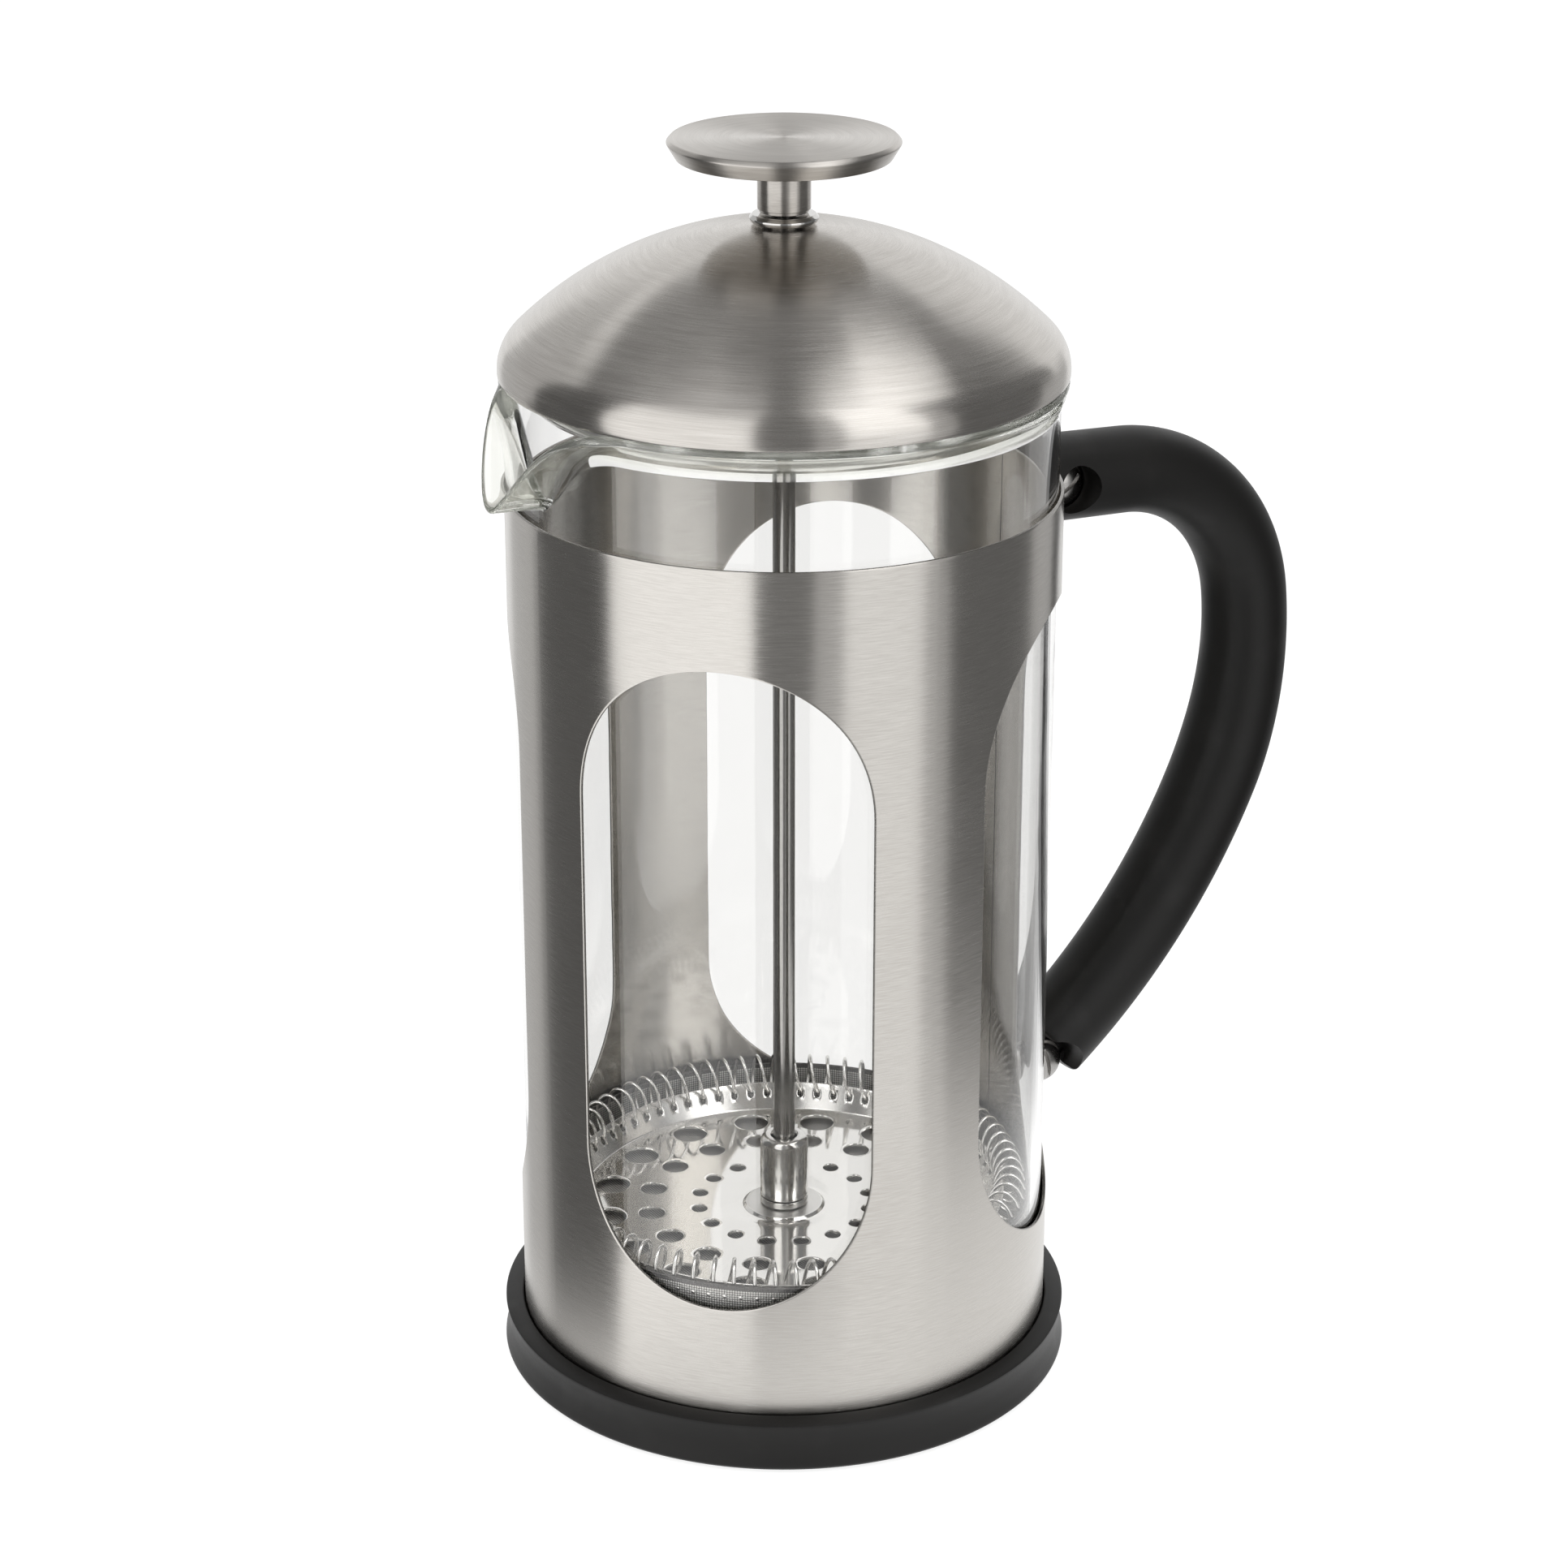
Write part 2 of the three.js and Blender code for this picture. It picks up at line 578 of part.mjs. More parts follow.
function handle() {
  const circle = ringOutline(GRIP_RADIUS, GRIP_SIDES);
  const options = { steps: GRIP_STEPS, bevelEnabled: false, extrudePath: gripLine };
  let grip = solid(new THREE.ExtrudeGeometry(circle, options));

  // The upper end leans back from the sleeve and has a slot for each ear, with the tongue between.
  const far = 4 * GRIP_RADIUS;
  const wedge = block([-far, -far, -far], [0, far, far]);
  wedge.rotateY(radians(-GRIP_END_LEAN)).translate(GRIP_START.x, 0, GRIP_START.y + GRIP_END_BREAK);
  grip = grip.subtract(solid(wedge));
  const slotEnd = UPPER_SCREW.x + EAR_RADIUS + FIT_GAP;
  for (const side of [-1, 1]) {
    const faces = [side * (TONGUE / 2), side * CHEEK_FACE].sort((a, b) => a - b);
    const low = [GRIP_START.x - 2 * GRIP_RADIUS, faces[0], UPPER_SCREW.y - EAR_RADIUS - FIT_GAP];
    const high = [slotEnd, faces[1], UPPER_SCREW.y + EAR_RADIUS + FIT_GAP];
    grip = grip.subtract(solid(block(low, high)));
    const bore = [side * CHEEK_FACE, side * 2 * GRIP_RADIUS].sort((a, b) => a - b);
    const sink = barAlongY(UPPER_SCREW, SCREW_HEAD_RADIUS + COUNTERBORE_PLAY, ...bore, SMALL_SIDES);
    const relief = [side * (TONGUE / 2), side * 2 * GRIP_RADIUS].sort((a, b) => a - b);
    const notch = barAlongY(LOWER_SCREW, EAR_RADIUS + NOTCH_PLAY, ...relief, SMALL_SIDES);
    grip = grip.subtract(solid(sink)).subtract(solid(notch));
  }

  // The lower end carries a tongue that reaches the lower screw.
  const root = gripLine.getPoint(1).addScaledVector(gripLine.getTangent(1), -TONGUE_ROOT);
  grip = grip.add(solid(tongue({ x: LOWER_SCREW.x, z: LOWER_SCREW.y }, root)));
  for (const place of [UPPER_SCREW, LOWER_SCREW]) {
    const hole = barAlongY(place, SCREW_RADIUS + BORE_PLAY, -2 * GRIP_RADIUS, 2 * GRIP_RADIUS, SMALL_SIDES);
    grip = grip.subtract(solid(hole));
  }
  return piece("handle", geometryOf(grip), blackPlastic);
}

/** A slotted dome-head screw along +Z with its head's seat at Z = 0. */
function screwBody() {
  const length = 2 * EAR_OUTER_FACE + 3 * FIT_GAP + NUT_HEIGHT + SCREW_TAIL;
  const top = -SCREW_HEAD_EDGE - SCREW_HEAD_DOME;
  const domeRadius = (SCREW_HEAD_RADIUS ** 2 + SCREW_HEAD_DOME ** 2) / (2 * SCREW_HEAD_DOME);
  const spread = THREE.MathUtils.radToDeg(Math.asin(SCREW_HEAD_RADIUS / domeRadius));
  const head = arc(0, top + domeRadius, domeRadius, -QUARTER, -QUARTER + spread, SCREW_HEAD_STEPS);
  const profile = [
    ...head,
    [SCREW_HEAD_RADIUS, 0],
    [SCREW_RADIUS, 0],
    [SCREW_RADIUS, length],
    [0, length],
  ];
  const slot = block(
    [-2 * SCREW_HEAD_RADIUS, -SCREW_SLOT_WIDTH / 2, top - SCREW_HEAD_DOME],
    [2 * SCREW_HEAD_RADIUS, SCREW_SLOT_WIDTH / 2, top + SCREW_SLOT_DEPTH],
  );
  return geometryOf(solid(revolve(profile, SMALL_SIDES)).subtract(solid(slot)));
}

function clampScrew(name, place, slotTurn) {
  const screw = piece(name, screwBody(), polishedSteel);
  screw.position.set(place.x, -CHEEK_FACE, place.y);
  screw.rotation.set(-Math.PI / 2, 0, radians(slotTurn));
  return screw;
}

function clampNut(name, place) {
  const body = piece(name, nut(NUT_FLATS, SCREW_RADIUS + BORE_PLAY, NUT_HEIGHT), polishedSteel);
  body.position.set(place.x, CHEEK_FACE, place.y);
  body.rotation.set(-Math.PI / 2, 0, 0);
  return body;
}

function pot() {
  return groupOf(
    foot(),
    sleeve(),
    beaker(),
    handle(),
    clampScrew("upper_clamp_screw", UPPER_SCREW, UPPER_SLOT_TURN),
    clampNut("upper_clamp_nut", UPPER_SCREW),
    clampScrew("lower_clamp_screw", LOWER_SCREW, LOWER_SLOT_TURN),
    clampNut("lower_clamp_nut", LOWER_SCREW),
  );
}

// ---------------------------------------------------------------- lid

/** The dome's outline: a spherical cap that meets a tighter shoulder, set in by a thickness. */
function domeLine(inset) {
  const shoulderCentre = DOME_WIDEST - DOME_SHOULDER;
  const shoulderHeight = BEAKER_TOP + DOME_SHOULDER_HEIGHT;
  const rise = DOME_APEX - shoulderHeight;
  const capRadius = (rise ** 2 + shoulderCentre ** 2 - DOME_SHOULDER ** 2) / (2 * (rise - DOME_SHOULDER));
  const meeting = THREE.MathUtils.radToDeg(Math.asin(shoulderCentre / (capRadius - DOME_SHOULDER)));
  const hole = FERRULE_OUTER + FIT_GAP;
  const first = QUARTER - THREE.MathUtils.radToDeg(Math.asin(hole / (capRadius - inset)));
  const cap = arc(0, DOME_APEX - capRadius, capRadius - inset, first, QUARTER - meeting, DOME_CAP_STEPS);
  const shoulder = arc(
    shoulderCentre,
    shoulderHeight,
    DOME_SHOULDER - inset,
    QUARTER - meeting,
    0,
    DOME_SHOULDER_STEPS,
  );
  return [...cap, ...shoulder.slice(1)];
}

function dome() {
  const hem = BEAKER_TOP + FIT_GAP / 2;
  const hemOuter = [DOME_WIDEST - DOME_SHEET / 4, hem];
  const hemInner = [DOME_WIDEST - DOME_SHEET, hem];
  const profile = [...domeLine(0).toReversed(), ...domeLine(DOME_SHEET), hemInner, hemOuter];
  return piece("lid_dome", welded(revolveRing(profile, RING_SIDES)), brushedSteel);
}

/** The pan under the dome: a flange on the beaker's rim, a wall inside it and a floor. */
function skirt() {
  const outer = BEAKER_BORE - SKIRT_PLAY;
  const flange = DOME_WIDEST - DOME_SHEET - FIT_GAP;
  const hole = ROD_RADIUS + SKIRT_HOLE_PLAY;
  const profile = [
    [hole, SKIRT_BOTTOM],
    [outer, SKIRT_BOTTOM],
    [outer, LID_SEAT],
    [flange, LID_SEAT],
    [flange, LID_SEAT + SKIRT_SHEET],
    [outer - SKIRT_SHEET, LID_SEAT + SKIRT_SHEET],
    [outer - SKIRT_SHEET, SKIRT_BOTTOM + SKIRT_SHEET],
    [hole, SKIRT_BOTTOM + SKIRT_SHEET],
  ];
  return piece("lid_skirt", welded(revolveRing(profile, RING_SIDES)), brushedSteel);
}

function ferrule() {
  const profile = [
    [FERRULE_BORE, FLANGE_BOTTOM - FERRULE_DEPTH],
    [FERRULE_OUTER, FLANGE_BOTTOM - FERRULE_DEPTH],
    [FERRULE_OUTER, FLANGE_BOTTOM],
    [FERRULE_FLANGE_RADIUS - FERRULE_EDGE, FLANGE_BOTTOM],
    [FERRULE_FLANGE_RADIUS, FLANGE_BOTTOM + FERRULE_EDGE],
    [FERRULE_FLANGE_RADIUS, FLANGE_TOP - FERRULE_EDGE],
    [FERRULE_FLANGE_RADIUS - FERRULE_EDGE, FLANGE_TOP],
    [FERRULE_BORE, FLANGE_TOP],
  ];
  return piece("lid_ferrule", welded(revolveRing(profile, SMALL_SIDES)), polishedSteel);
}

function ferruleNut() {
  const top = DOME_APEX - DOME_SHEET - FIT_GAP - FERRULE_NUT_DROP;
  const bore = FERRULE_OUTER + BORE_PLAY;
  const ring = tube(bore, FERRULE_NUT_RADIUS, top - FERRULE_NUT_HEIGHT, top, SMALL_SIDES);
  return piece("lid_ferrule_nut", welded(ring), polishedSteel);
}

function lid() {
  return groupOf(dome(), skirt(), ferrule(), ferruleNut());
}

// ---------------------------------------------------------------- plunger

function rod() {
  const profile = [[0, ROD_BOTTOM], [ROD_RADIUS, ROD_BOTTOM], [ROD_RADIUS, ROD_TOP], [0, ROD_TOP]];
  return piece("plunger_rod", welded(revolve(profile, SMALL_SIDES)), polishedSteel);
}

function neck() {
  const collar = tube(ROD_RADIUS + BORE_PLAY, NECK_RADIUS, NECK_BOTTOM, NECK_TOP, SMALL_SIDES);
  return piece("knob_neck", welded(collar), brushedSteel);
}

function knob() {
  const socket = ROD_RADIUS + BORE_PLAY;
  const socketTop = KNOB_TOP - KNOB_SKIN;
  const profile = [
    [0, socketTop],
    [socket, socketTop],
    [socket, KNOB_BOTTOM],
    [KNOB_RADIUS - KNOB_BEVEL, KNOB_BOTTOM],
    [KNOB_RADIUS, KNOB_TOP - KNOB_EDGE],
    [KNOB_RADIUS - KNOB_EDGE, KNOB_TOP],
    [0, KNOB_TOP],
  ];
  return piece("knob_disc", welded(revolve(profile, 2 * SMALL_SIDES)), brushedSteel);
}

function plunger() {
  return groupOf(rod(), neck(), knob());
}

// ---------------------------------------------------------------- filter

/** The plate's upper line from its bore to its rim. */
function plateLine() {
  return [
    [STACK_BORE, PLATE_TOP],
    [PLATE_PAD_RADIUS, PLATE_TOP],
    [PLATE_PAD_RADIUS + PLATE_SHEET, PLATE_TOP - PLATE_DIMPLE_DEPTH],
    [PLATE_DIMPLE_RADIUS, PLATE_TOP],
    [PLATE_FLAT_RADIUS, PLATE_TOP],
    [RIM_RADIUS, RIM_HEIGHT],
  ];
}

function perforatedPlate() {
  const upper = plateLine();
  const lower = upper.map(([radius, height]) => [radius, height - PLATE_SHEET]);
  let plate = solid(revolveRing([...lower, ...upper.toReversed()], RING_SIDES));
  for (const { inset, hole } of HOLE_RINGS) {
    const radius = PLATE_FLAT_RADIUS - inset;
    for (let i = 0; i < HOLE_COUNT; i += 1) {
      const angle = radians(HOLE_START_ANGLE + (360 / HOLE_COUNT) * i);
      const drill = new THREE.CylinderGeometry(hole, hole, 4 * PLATE_SHEET, HOLE_SIDES);
      drill.rotateX(Math.PI / 2);
      drill.translate(radius * Math.cos(angle), radius * Math.sin(angle), PLATE_TOP - PLATE_SHEET / 2);
      plate = plate.subtract(solid(drill));
    }
  }
  return piece("perforated_plate", geometryOf(plate), polishedSteel);
}

/** A wire wound round a ring, open at one joint. */
class CoilCurve extends THREE.Curve {
  getPoint(t, target = new THREE.Vector3()) {
    const round = radians(COIL_JOINT_ANGLE / 2 + (360 - COIL_JOINT_ANGLE) * t);
    const wind = 2 * Math.PI * COIL_TURNS * t;
    const radius = COIL_RING + COIL_RADIUS * Math.cos(wind);
    return target.set(
      radius * Math.cos(round),
      radius * Math.sin(round),
      COIL_HEIGHT + COIL_RADIUS * Math.sin(wind),
    );
  }

  getPointAt(t, target) {
    return this.getPoint(t, target);
  }
}

function coil() {
  const section = ringOutline(COIL_WIRE, COIL_WIRE_SIDES);
  const steps = COIL_TURNS * COIL_STEPS_PER_TURN;
  const options = { steps, bevelEnabled: false, extrudePath: new CoilCurve() };
  const wire = new THREE.ExtrudeGeometry(section, options);
  return piece("coil_spring", welded(wire), polishedSteel);
}

function filterMesh() {
  const bottom = MESH_TOP - MESH_SHEET;
  const wallTop = COIL_HEIGHT - MESH_HEM_DROP;
  const profile = [
    [STACK_BORE, bottom],
    [MESH_OUTER, bottom],
    [MESH_OUTER, wallTop],
    [MESH_OUTER - MESH_SHEET, wallTop],
    [MESH_OUTER - MESH_SHEET, MESH_TOP],
    [STACK_BORE, MESH_TOP],
  ];
  return piece("filter_mesh", welded(revolveRing(profile, RING_SIDES)), wovenSteel);
}

/** A spider of round-ended arms round a disc. */
function crossPlate() {
  const bottom = CROSS_TOP - CROSS_SHEET;
  const reach = MESH_OUTER - CROSS_INSET;
  let spider = solid(tube(STACK_BORE, CROSS_CENTRE_RADIUS, bottom, CROSS_TOP, SMALL_SIDES));
  for (let i = 0; i < CROSS_ARMS; i += 1) {
    const arm = new THREE.Shape();
    const half = CROSS_ARM_WIDTH / 2;
    arm.moveTo(0, -half);
    arm.absarc(reach - half, 0, half, -Math.PI / 2, Math.PI / 2, false);
    arm.lineTo(0, half);
    arm.closePath();
    const options = { depth: CROSS_SHEET, bevelEnabled: false, curveSegments: 8 };
    const bar = new THREE.ExtrudeGeometry(arm, options);
    bar.rotateZ(((2 * Math.PI) / CROSS_ARMS) * i).translate(0, 0, bottom);
    spider = spider.add(solid(bar));
  }
  const bore = new THREE.CylinderGeometry(STACK_BORE, STACK_BORE, 4 * CROSS_SHEET, SMALL_SIDES);
  spider = spider.subtract(solid(bore.rotateX(Math.PI / 2).translate(0, 0, bottom)));
  return piece("cross_plate", geometryOf(spider), polishedSteel);
}

/** A turned hub: a blind socket for the rod above and a spigot through the stack below. */
function hub() {
  const socket = ROD_RADIUS + BORE_PLAY;
  const profile = [
    [0, SPIGOT_BOTTOM],
    [SPIGOT_RADIUS, SPIGOT_BOTTOM],
    [SPIGOT_RADIUS, HUB_BOTTOM],
    [HUB_RADIUS, HUB_BOTTOM],
    [HUB_RADIUS, HUB_TOP - HUB_SHOULDER],
    [HUB_RADIUS - HUB_SHOULDER, HUB_TOP],
    [socket, HUB_TOP],
    [socket, HUB_BOTTOM + HUB_FLOOR],
    [0, HUB_BOTTOM + HUB_FLOOR],
  ];
  return piece("filter_hub", welded(revolve(profile, SMALL_SIDES)), polishedSteel);
}

function hubWasher() {
  const ring = tube(STACK_BORE, WASHER_RADIUS, WASHER_BOTTOM, WASHER_BOTTOM + WASHER_HEIGHT, SMALL_SIDES);
  return piece("hub_washer", welded(ring), polishedSteel);
}

function filterNut() {
  const body = piece("filter_nut", nut(FILTER_NUT_FLATS, STACK_BORE, FILTER_NUT_HEIGHT), polishedSteel);
  body.position.set(0, 0, FILTER_NUT_TOP - FILTER_NUT_HEIGHT);
  return body;
}

function filter() {
  return groupOf(hub(), hubWasher(), perforatedPlate(), coil(), filterMesh(), crossPlate(), filterNut());
}

// ---------------------------------------------------------------- assembly

export default groupOf(pot(), lid(), plunger(), filter());
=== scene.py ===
"""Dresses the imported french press: a fine mesh for every piece, procedural finishes and a plain studio.

All sizes in the classes are millimetres in the row frame: the axis of the pot is Z, the foot stands on
Z = 0, the handle points to +X and the spout to -X. Meshes are written out in metres. Only the camera,
the lamps and the cards are placed in metres.
"""

from __future__ import annotations

import logging
import math
from collections.abc import Callable, Sequence
from dataclasses import dataclass, field
from enum import Enum
from functools import cache

import bmesh
import bpy
import numpy as np
from mathutils import Matrix
from numpy.typing import ArrayLike


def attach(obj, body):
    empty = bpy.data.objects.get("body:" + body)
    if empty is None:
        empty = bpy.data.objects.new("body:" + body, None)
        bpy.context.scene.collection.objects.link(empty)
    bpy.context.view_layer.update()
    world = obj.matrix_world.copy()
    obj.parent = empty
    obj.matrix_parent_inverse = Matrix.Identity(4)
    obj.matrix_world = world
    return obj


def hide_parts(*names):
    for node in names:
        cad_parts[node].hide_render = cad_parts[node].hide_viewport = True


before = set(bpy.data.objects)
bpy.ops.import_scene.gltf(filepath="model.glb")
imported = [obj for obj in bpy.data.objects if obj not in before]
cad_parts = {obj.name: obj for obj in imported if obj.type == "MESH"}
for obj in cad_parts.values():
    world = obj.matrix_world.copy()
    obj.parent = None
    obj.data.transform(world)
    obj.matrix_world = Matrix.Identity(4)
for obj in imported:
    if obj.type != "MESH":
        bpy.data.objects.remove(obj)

logger = logging.getLogger("french_press")

MM = 0.001
FULL_TURN = 2 * math.pi
WELD = 2e-6
BEVEL_SHARE = 0.3
WIRE_SIDES = 8
SAME_DIGITS = 9
WEAVE_MAP = "weave"

Pair = tuple[float, float]
Triple = tuple[float, float, float]


class Body(Enum):
    """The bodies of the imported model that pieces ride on."""

    POT = "pot"
    LID = "lid"
    PLUNGER = "plunger"
    FILTER = "filter"


class Slot(Enum):
    """The record's material slots."""

    PLASTIC = "black_plastic"
    BRUSHED = "brushed_steel"
    POLISHED = "polished_steel"
    WOVEN = "woven_steel"
    GLASS = "clear_glass"


class Grain(Enum):
    """The way in which a metal surface is brushed."""

    ROUND_AXIS = "round the axis"
    ALONG_AXIS = "along the axis"


# ---------------------------------------------------------------- outlines


def rounded(corners: Sequence[Triple], steps: int = 4, closed: bool = True) -> list[Pair]:
    """Rounds the corners of an outline.

    Args:
        corners: The corners as (x, y, fillet radius), in order.
        steps: How many straight steps a fillet has.
        closed: Whether the last corner joins the first; otherwise the two ends stay as they are.

    Returns:
        The points of the rounded outline.
    """
    points: list[Pair] = []
    count = len(corners)
    for i, (x, y, radius) in enumerate(corners):
        if radius <= 0 or (not closed and i in (0, count - 1)):
            points.append((x, y))
            continue
        here = np.array((x, y))
        before = np.array(corners[i - 1][:2]) - here
        after = np.array(corners[(i + 1) % count][:2]) - here
        before, after = before / np.linalg.norm(before), after / np.linalg.norm(after)
        half = math.acos(max(-1.0, min(1.0, float(before @ after)))) / 2
        middle = before + after
        centre = here + middle / np.linalg.norm(middle) * radius / math.sin(half)
        start = here + before * radius / math.tan(half) - centre
        end = here + after * radius / math.tan(half) - centre
        sweep = math.pi - 2 * half
        for share in np.arange(steps + 1) / steps:
            spoke = start * math.sin((1 - share) * sweep) + end * math.sin(share * sweep)
            points.append(tuple(centre + spoke / math.sin(sweep)))
    return points


def arc(centre: Pair, radius: float, start: float, end: float, steps: int) -> list[Pair]:
    """Gives the steps + 1 points of a circular arc between two angles in degrees."""
    angles = np.radians(np.linspace(start, end, steps + 1))
    return [(centre[0] + radius * math.cos(a), centre[1] + radius * math.sin(a)) for a in angles]


def smooth_line(knots: Sequence[Pair], steps: int) -> list[Pair]:
    """Draws a smooth line through knots, by Catmull and Rom's rule.

    Args:
        knots: The points that the line passes through.
        steps: How many straight steps lie between two knots.

    Returns:
        The points of the line.
    """
    p = np.array([knots[0], *knots, knots[-1]], float)
    line: list[Pair] = []
    for i in range(1, len(p) - 2):
        for t in np.arange(steps) / steps:
            point = 0.5 * (
                2 * p[i]
                + (p[i + 1] - p[i - 1]) * t
                + (2 * p[i - 1] - 5 * p[i] + 4 * p[i + 1] - p[i + 2]) * t**2
                + (3 * p[i] - p[i - 1] - 3 * p[i + 1] + p[i + 2]) * t**3
            )
            line.append(tuple(point))
    return [*line, knots[-1]]


def through_sheet(thickness: float, edge: float) -> list[Pair]:
    """Steps through a sheet whose two edges are softened.

    Args:
        thickness: The sheet's thickness.
        edge: How far its edges are softened.

    Returns:
        The steps as (inset, depth).
    """
    cut = edge * BEVEL_SHARE
    upper = [(edge, 0.0), (cut, cut), (0.0, edge)]
    return [*upper, *((inset, thickness - depth) for inset, depth in reversed(upper))]


def square(steps: int) -> np.ndarray:
    """Walks round the border of the square from -1 to 1.

    Args:
        steps: How many steps a side has.

    Returns:
        The border's points, in order.
    """
    t = np.linspace(-1, 1, steps + 1)[:-1]
    one = np.ones(steps)
    sides = ((one, t), (-t, one), (-one, -t), (t, -one))
    return np.concatenate([np.column_stack(side) for side in sides])


def polar(radius: ArrayLike, angle: ArrayLike, height: ArrayLike) -> np.ndarray:
    """Gives the points at radii, angles in radians and heights: numbers, rows or columns of them."""
    radius, angle, height = np.broadcast_arrays(radius, angle, height)
    return np.stack([radius * np.cos(angle), radius * np.sin(angle), height], -1)


def swept(line: Sequence[Pair], angles: np.ndarray) -> np.ndarray:
    """Gives the grid of points of a line of (radius, height) that is swept through angles."""
    rows = np.array(line, float)
    return polar(rows[:, :1], angles, rows[:, 1:])


# ---------------------------------------------------------------- meshes


@dataclass
class Draft:
    """A mesh in the making, in millimetres."""

    points: list[np.ndarray] = field(default_factory=list)
    faces: list[tuple[int, ...]] = field(default_factory=list)
    weave: list[np.ndarray] = field(default_factory=list)

    def sheet(self, grid: np.ndarray, close_rows: bool = False, close_columns: bool = False) -> Draft:
        """Adds a sheet of quads through a grid of points.

        Args:
            grid: The points, as rows by columns by 3.
            close_rows: Whether the last row joins the first.
            close_columns: Whether the last column joins the first.

        Returns:
            This draft.
        """
        base = len(self.points)
        rows, columns, _ = grid.shape
        self.points.extend(grid.reshape(-1, 3))
        for i in range(rows if close_rows else rows - 1):
            below, above = base + i * columns, base + (i + 1) % rows * columns
            for j in range(columns if close_columns else columns - 1):
                beside = (j + 1) % columns
                self.faces.append((below + j, below + beside, above + beside, above + j))
        return self

    def face(self, ring: np.ndarray) -> Draft:
        """Adds one face on new points, which are welded to their doubles in the end.

        Args:
            ring: The points round the face.

        Returns:
            This draft.
        """
        base = len(self.points)
        self.points.extend(ring)
        self.faces.append(tuple(range(base, base + len(ring))))
        return self

    def join(self, other: Draft) -> None:
        """Adds another draft's points and faces.

        Args:
            other: The other draft.
        """
        base = len(self.points)
        self.points.extend(other.points)
        self.faces.extend(tuple(base + i for i in face) for face in other.faces)

    def moved(self, transform: Matrix) -> Draft:
        """Turns and moves all the points.

        Args:
            transform: The turn and the move, in millimetres.

        Returns:
            This draft.
        """
        turn = np.array(transform.to_3x3())
        shift = np.array(transform.translation)
        self.points = [turn @ point + shift for point in self.points]
        return self

    def shape(self, name: str) -> bpy.types.Object:
        """Makes the mesh object, welded and with its faces outwards.

        Args:
            name: The name of the new object.

        Returns:
            The object, linked to the scene.
        """
        mesh = bpy.data.meshes.new(name)
        mesh.from_pydata((np.array(self.points) * MM).tolist(), [], self.faces)
        if self.weave:
            corners = np.empty(len(mesh.loops), int)
            mesh.loops.foreach_get("vertex_index", corners)
            places = (np.array(self.weave) * MM)[corners]
            mesh.uv_layers.new(name=WEAVE_MAP).data.foreach_set("uv", places.ravel())
        tidy_mesh(mesh)
        return added(name, mesh)


def added(name: str, data: bpy.types.ID) -> bpy.types.Object:
    """Makes an object and links it to the scene.

    Args:
        name: The object's name.
        data: Its mesh, light or camera.

    Returns:
        The object.
    """
    made = bpy.data.objects.new(name, data)
    bpy.context.scene.collection.objects.link(made)
    return made


def tidy_mesh(mesh: bpy.types.Mesh) -> None:
    """Welds a mesh's doubles and turns its faces outwards.

    Args:
        mesh: The mesh, changed in place.
    """
    work = bmesh.new()
    work.from_mesh(mesh)
    bmesh.ops.remove_doubles(work, verts=work.verts, dist=WELD)
    bmesh.ops.dissolve_degenerate(work, edges=work.edges, dist=WELD / 4)
    bmesh.ops.recalc_face_normals(work, faces=work.faces)
    work.to_mesh(mesh)
    work.free()


def turned(profile: Sequence[Pair], sides: int = 192) -> Draft:
    """Revolves a closed profile of (radius, height) about the Z axis, with so many flats."""
    angles = np.arange(sides) * FULL_TURN / sides
    return Draft().sheet(swept(profile, angles), close_rows=True, close_columns=True)


def pulled(outline: Sequence[Pair], thickness: float, edge: float) -> Draft:
    """Makes a flat plate with softened edges.

    Args:
        outline: The plate's outline in XY, without a repeated point.
        thickness: The plate's thickness, from Z = 0 upwards.
        edge: How far the edges are softened.

    Returns:
        The draft of the plate.
    """
    line = np.array(outline, float)
    forward = np.roll(line, -1, 0) - np.roll(line, 1, 0)
    normal = np.stack([forward[:, 1], -forward[:, 0]], 1)
    area = float(np.sum(line[:, 0] * np.roll(line[:, 1], -1) - np.roll(line[:, 0], -1) * line[:, 1]))
    normal *= math.copysign(1, area) / np.linalg.norm(normal, axis=1, keepdims=True)
    return stacked([(line - normal * inset, height) for inset, height in through_sheet(thickness, edge)])


def stacked(rings: Sequence[tuple[np.ndarray, float]], start: int = 0) -> Draft:
    """Joins flat rings at their heights to a solid with a face at each end.

    Args:
        rings: Each ring's points in XY and its height.
        start: The first point that the wall takes; from 1, the wall is open at the first point.

    Returns:
        The draft of the solid.
    """
    grid = np.array([np.column_stack([ring, np.full(len(ring), height)]) for ring, height in rings])
    draft = Draft().sheet(grid[:, start:], close_columns=start == 0)
    return draft.face(grid[0]).face(grid[-1])


def soften(shape: bpy.types.Object, angle: float = 32) -> bpy.types.Object:
    """Shades a piece smooth up to its edges.

    Args:
        shape: The piece.
        angle: By how many degrees the surface turns at an edge at least.

    Returns:
        The piece.
    """
    mesh = shape.data
    mesh.polygons.foreach_set("use_smooth", [True] * len(mesh.polygons))
    mesh.set_sharp_from_angle(angle=math.radians(angle))
    mesh.update()
    return shape


def spun(
    name: str, corners: Sequence[Triple], sides: int, steps: int = 4, closed: bool = True
) -> bpy.types.Object:
    """Makes a turned piece from an outline with rounded corners.

    Args:
        name: The piece's name.
        corners: The corners as (radius, height, fillet radius).
        sides: How many flats the round has.
        steps: How many straight steps a fillet has.
        closed: Whether the outline's last corner joins the first with a fillet.

    Returns:
        The piece, shaded smooth.
    """
    return soften(turned(rounded(corners, steps, closed), sides).shape(name))


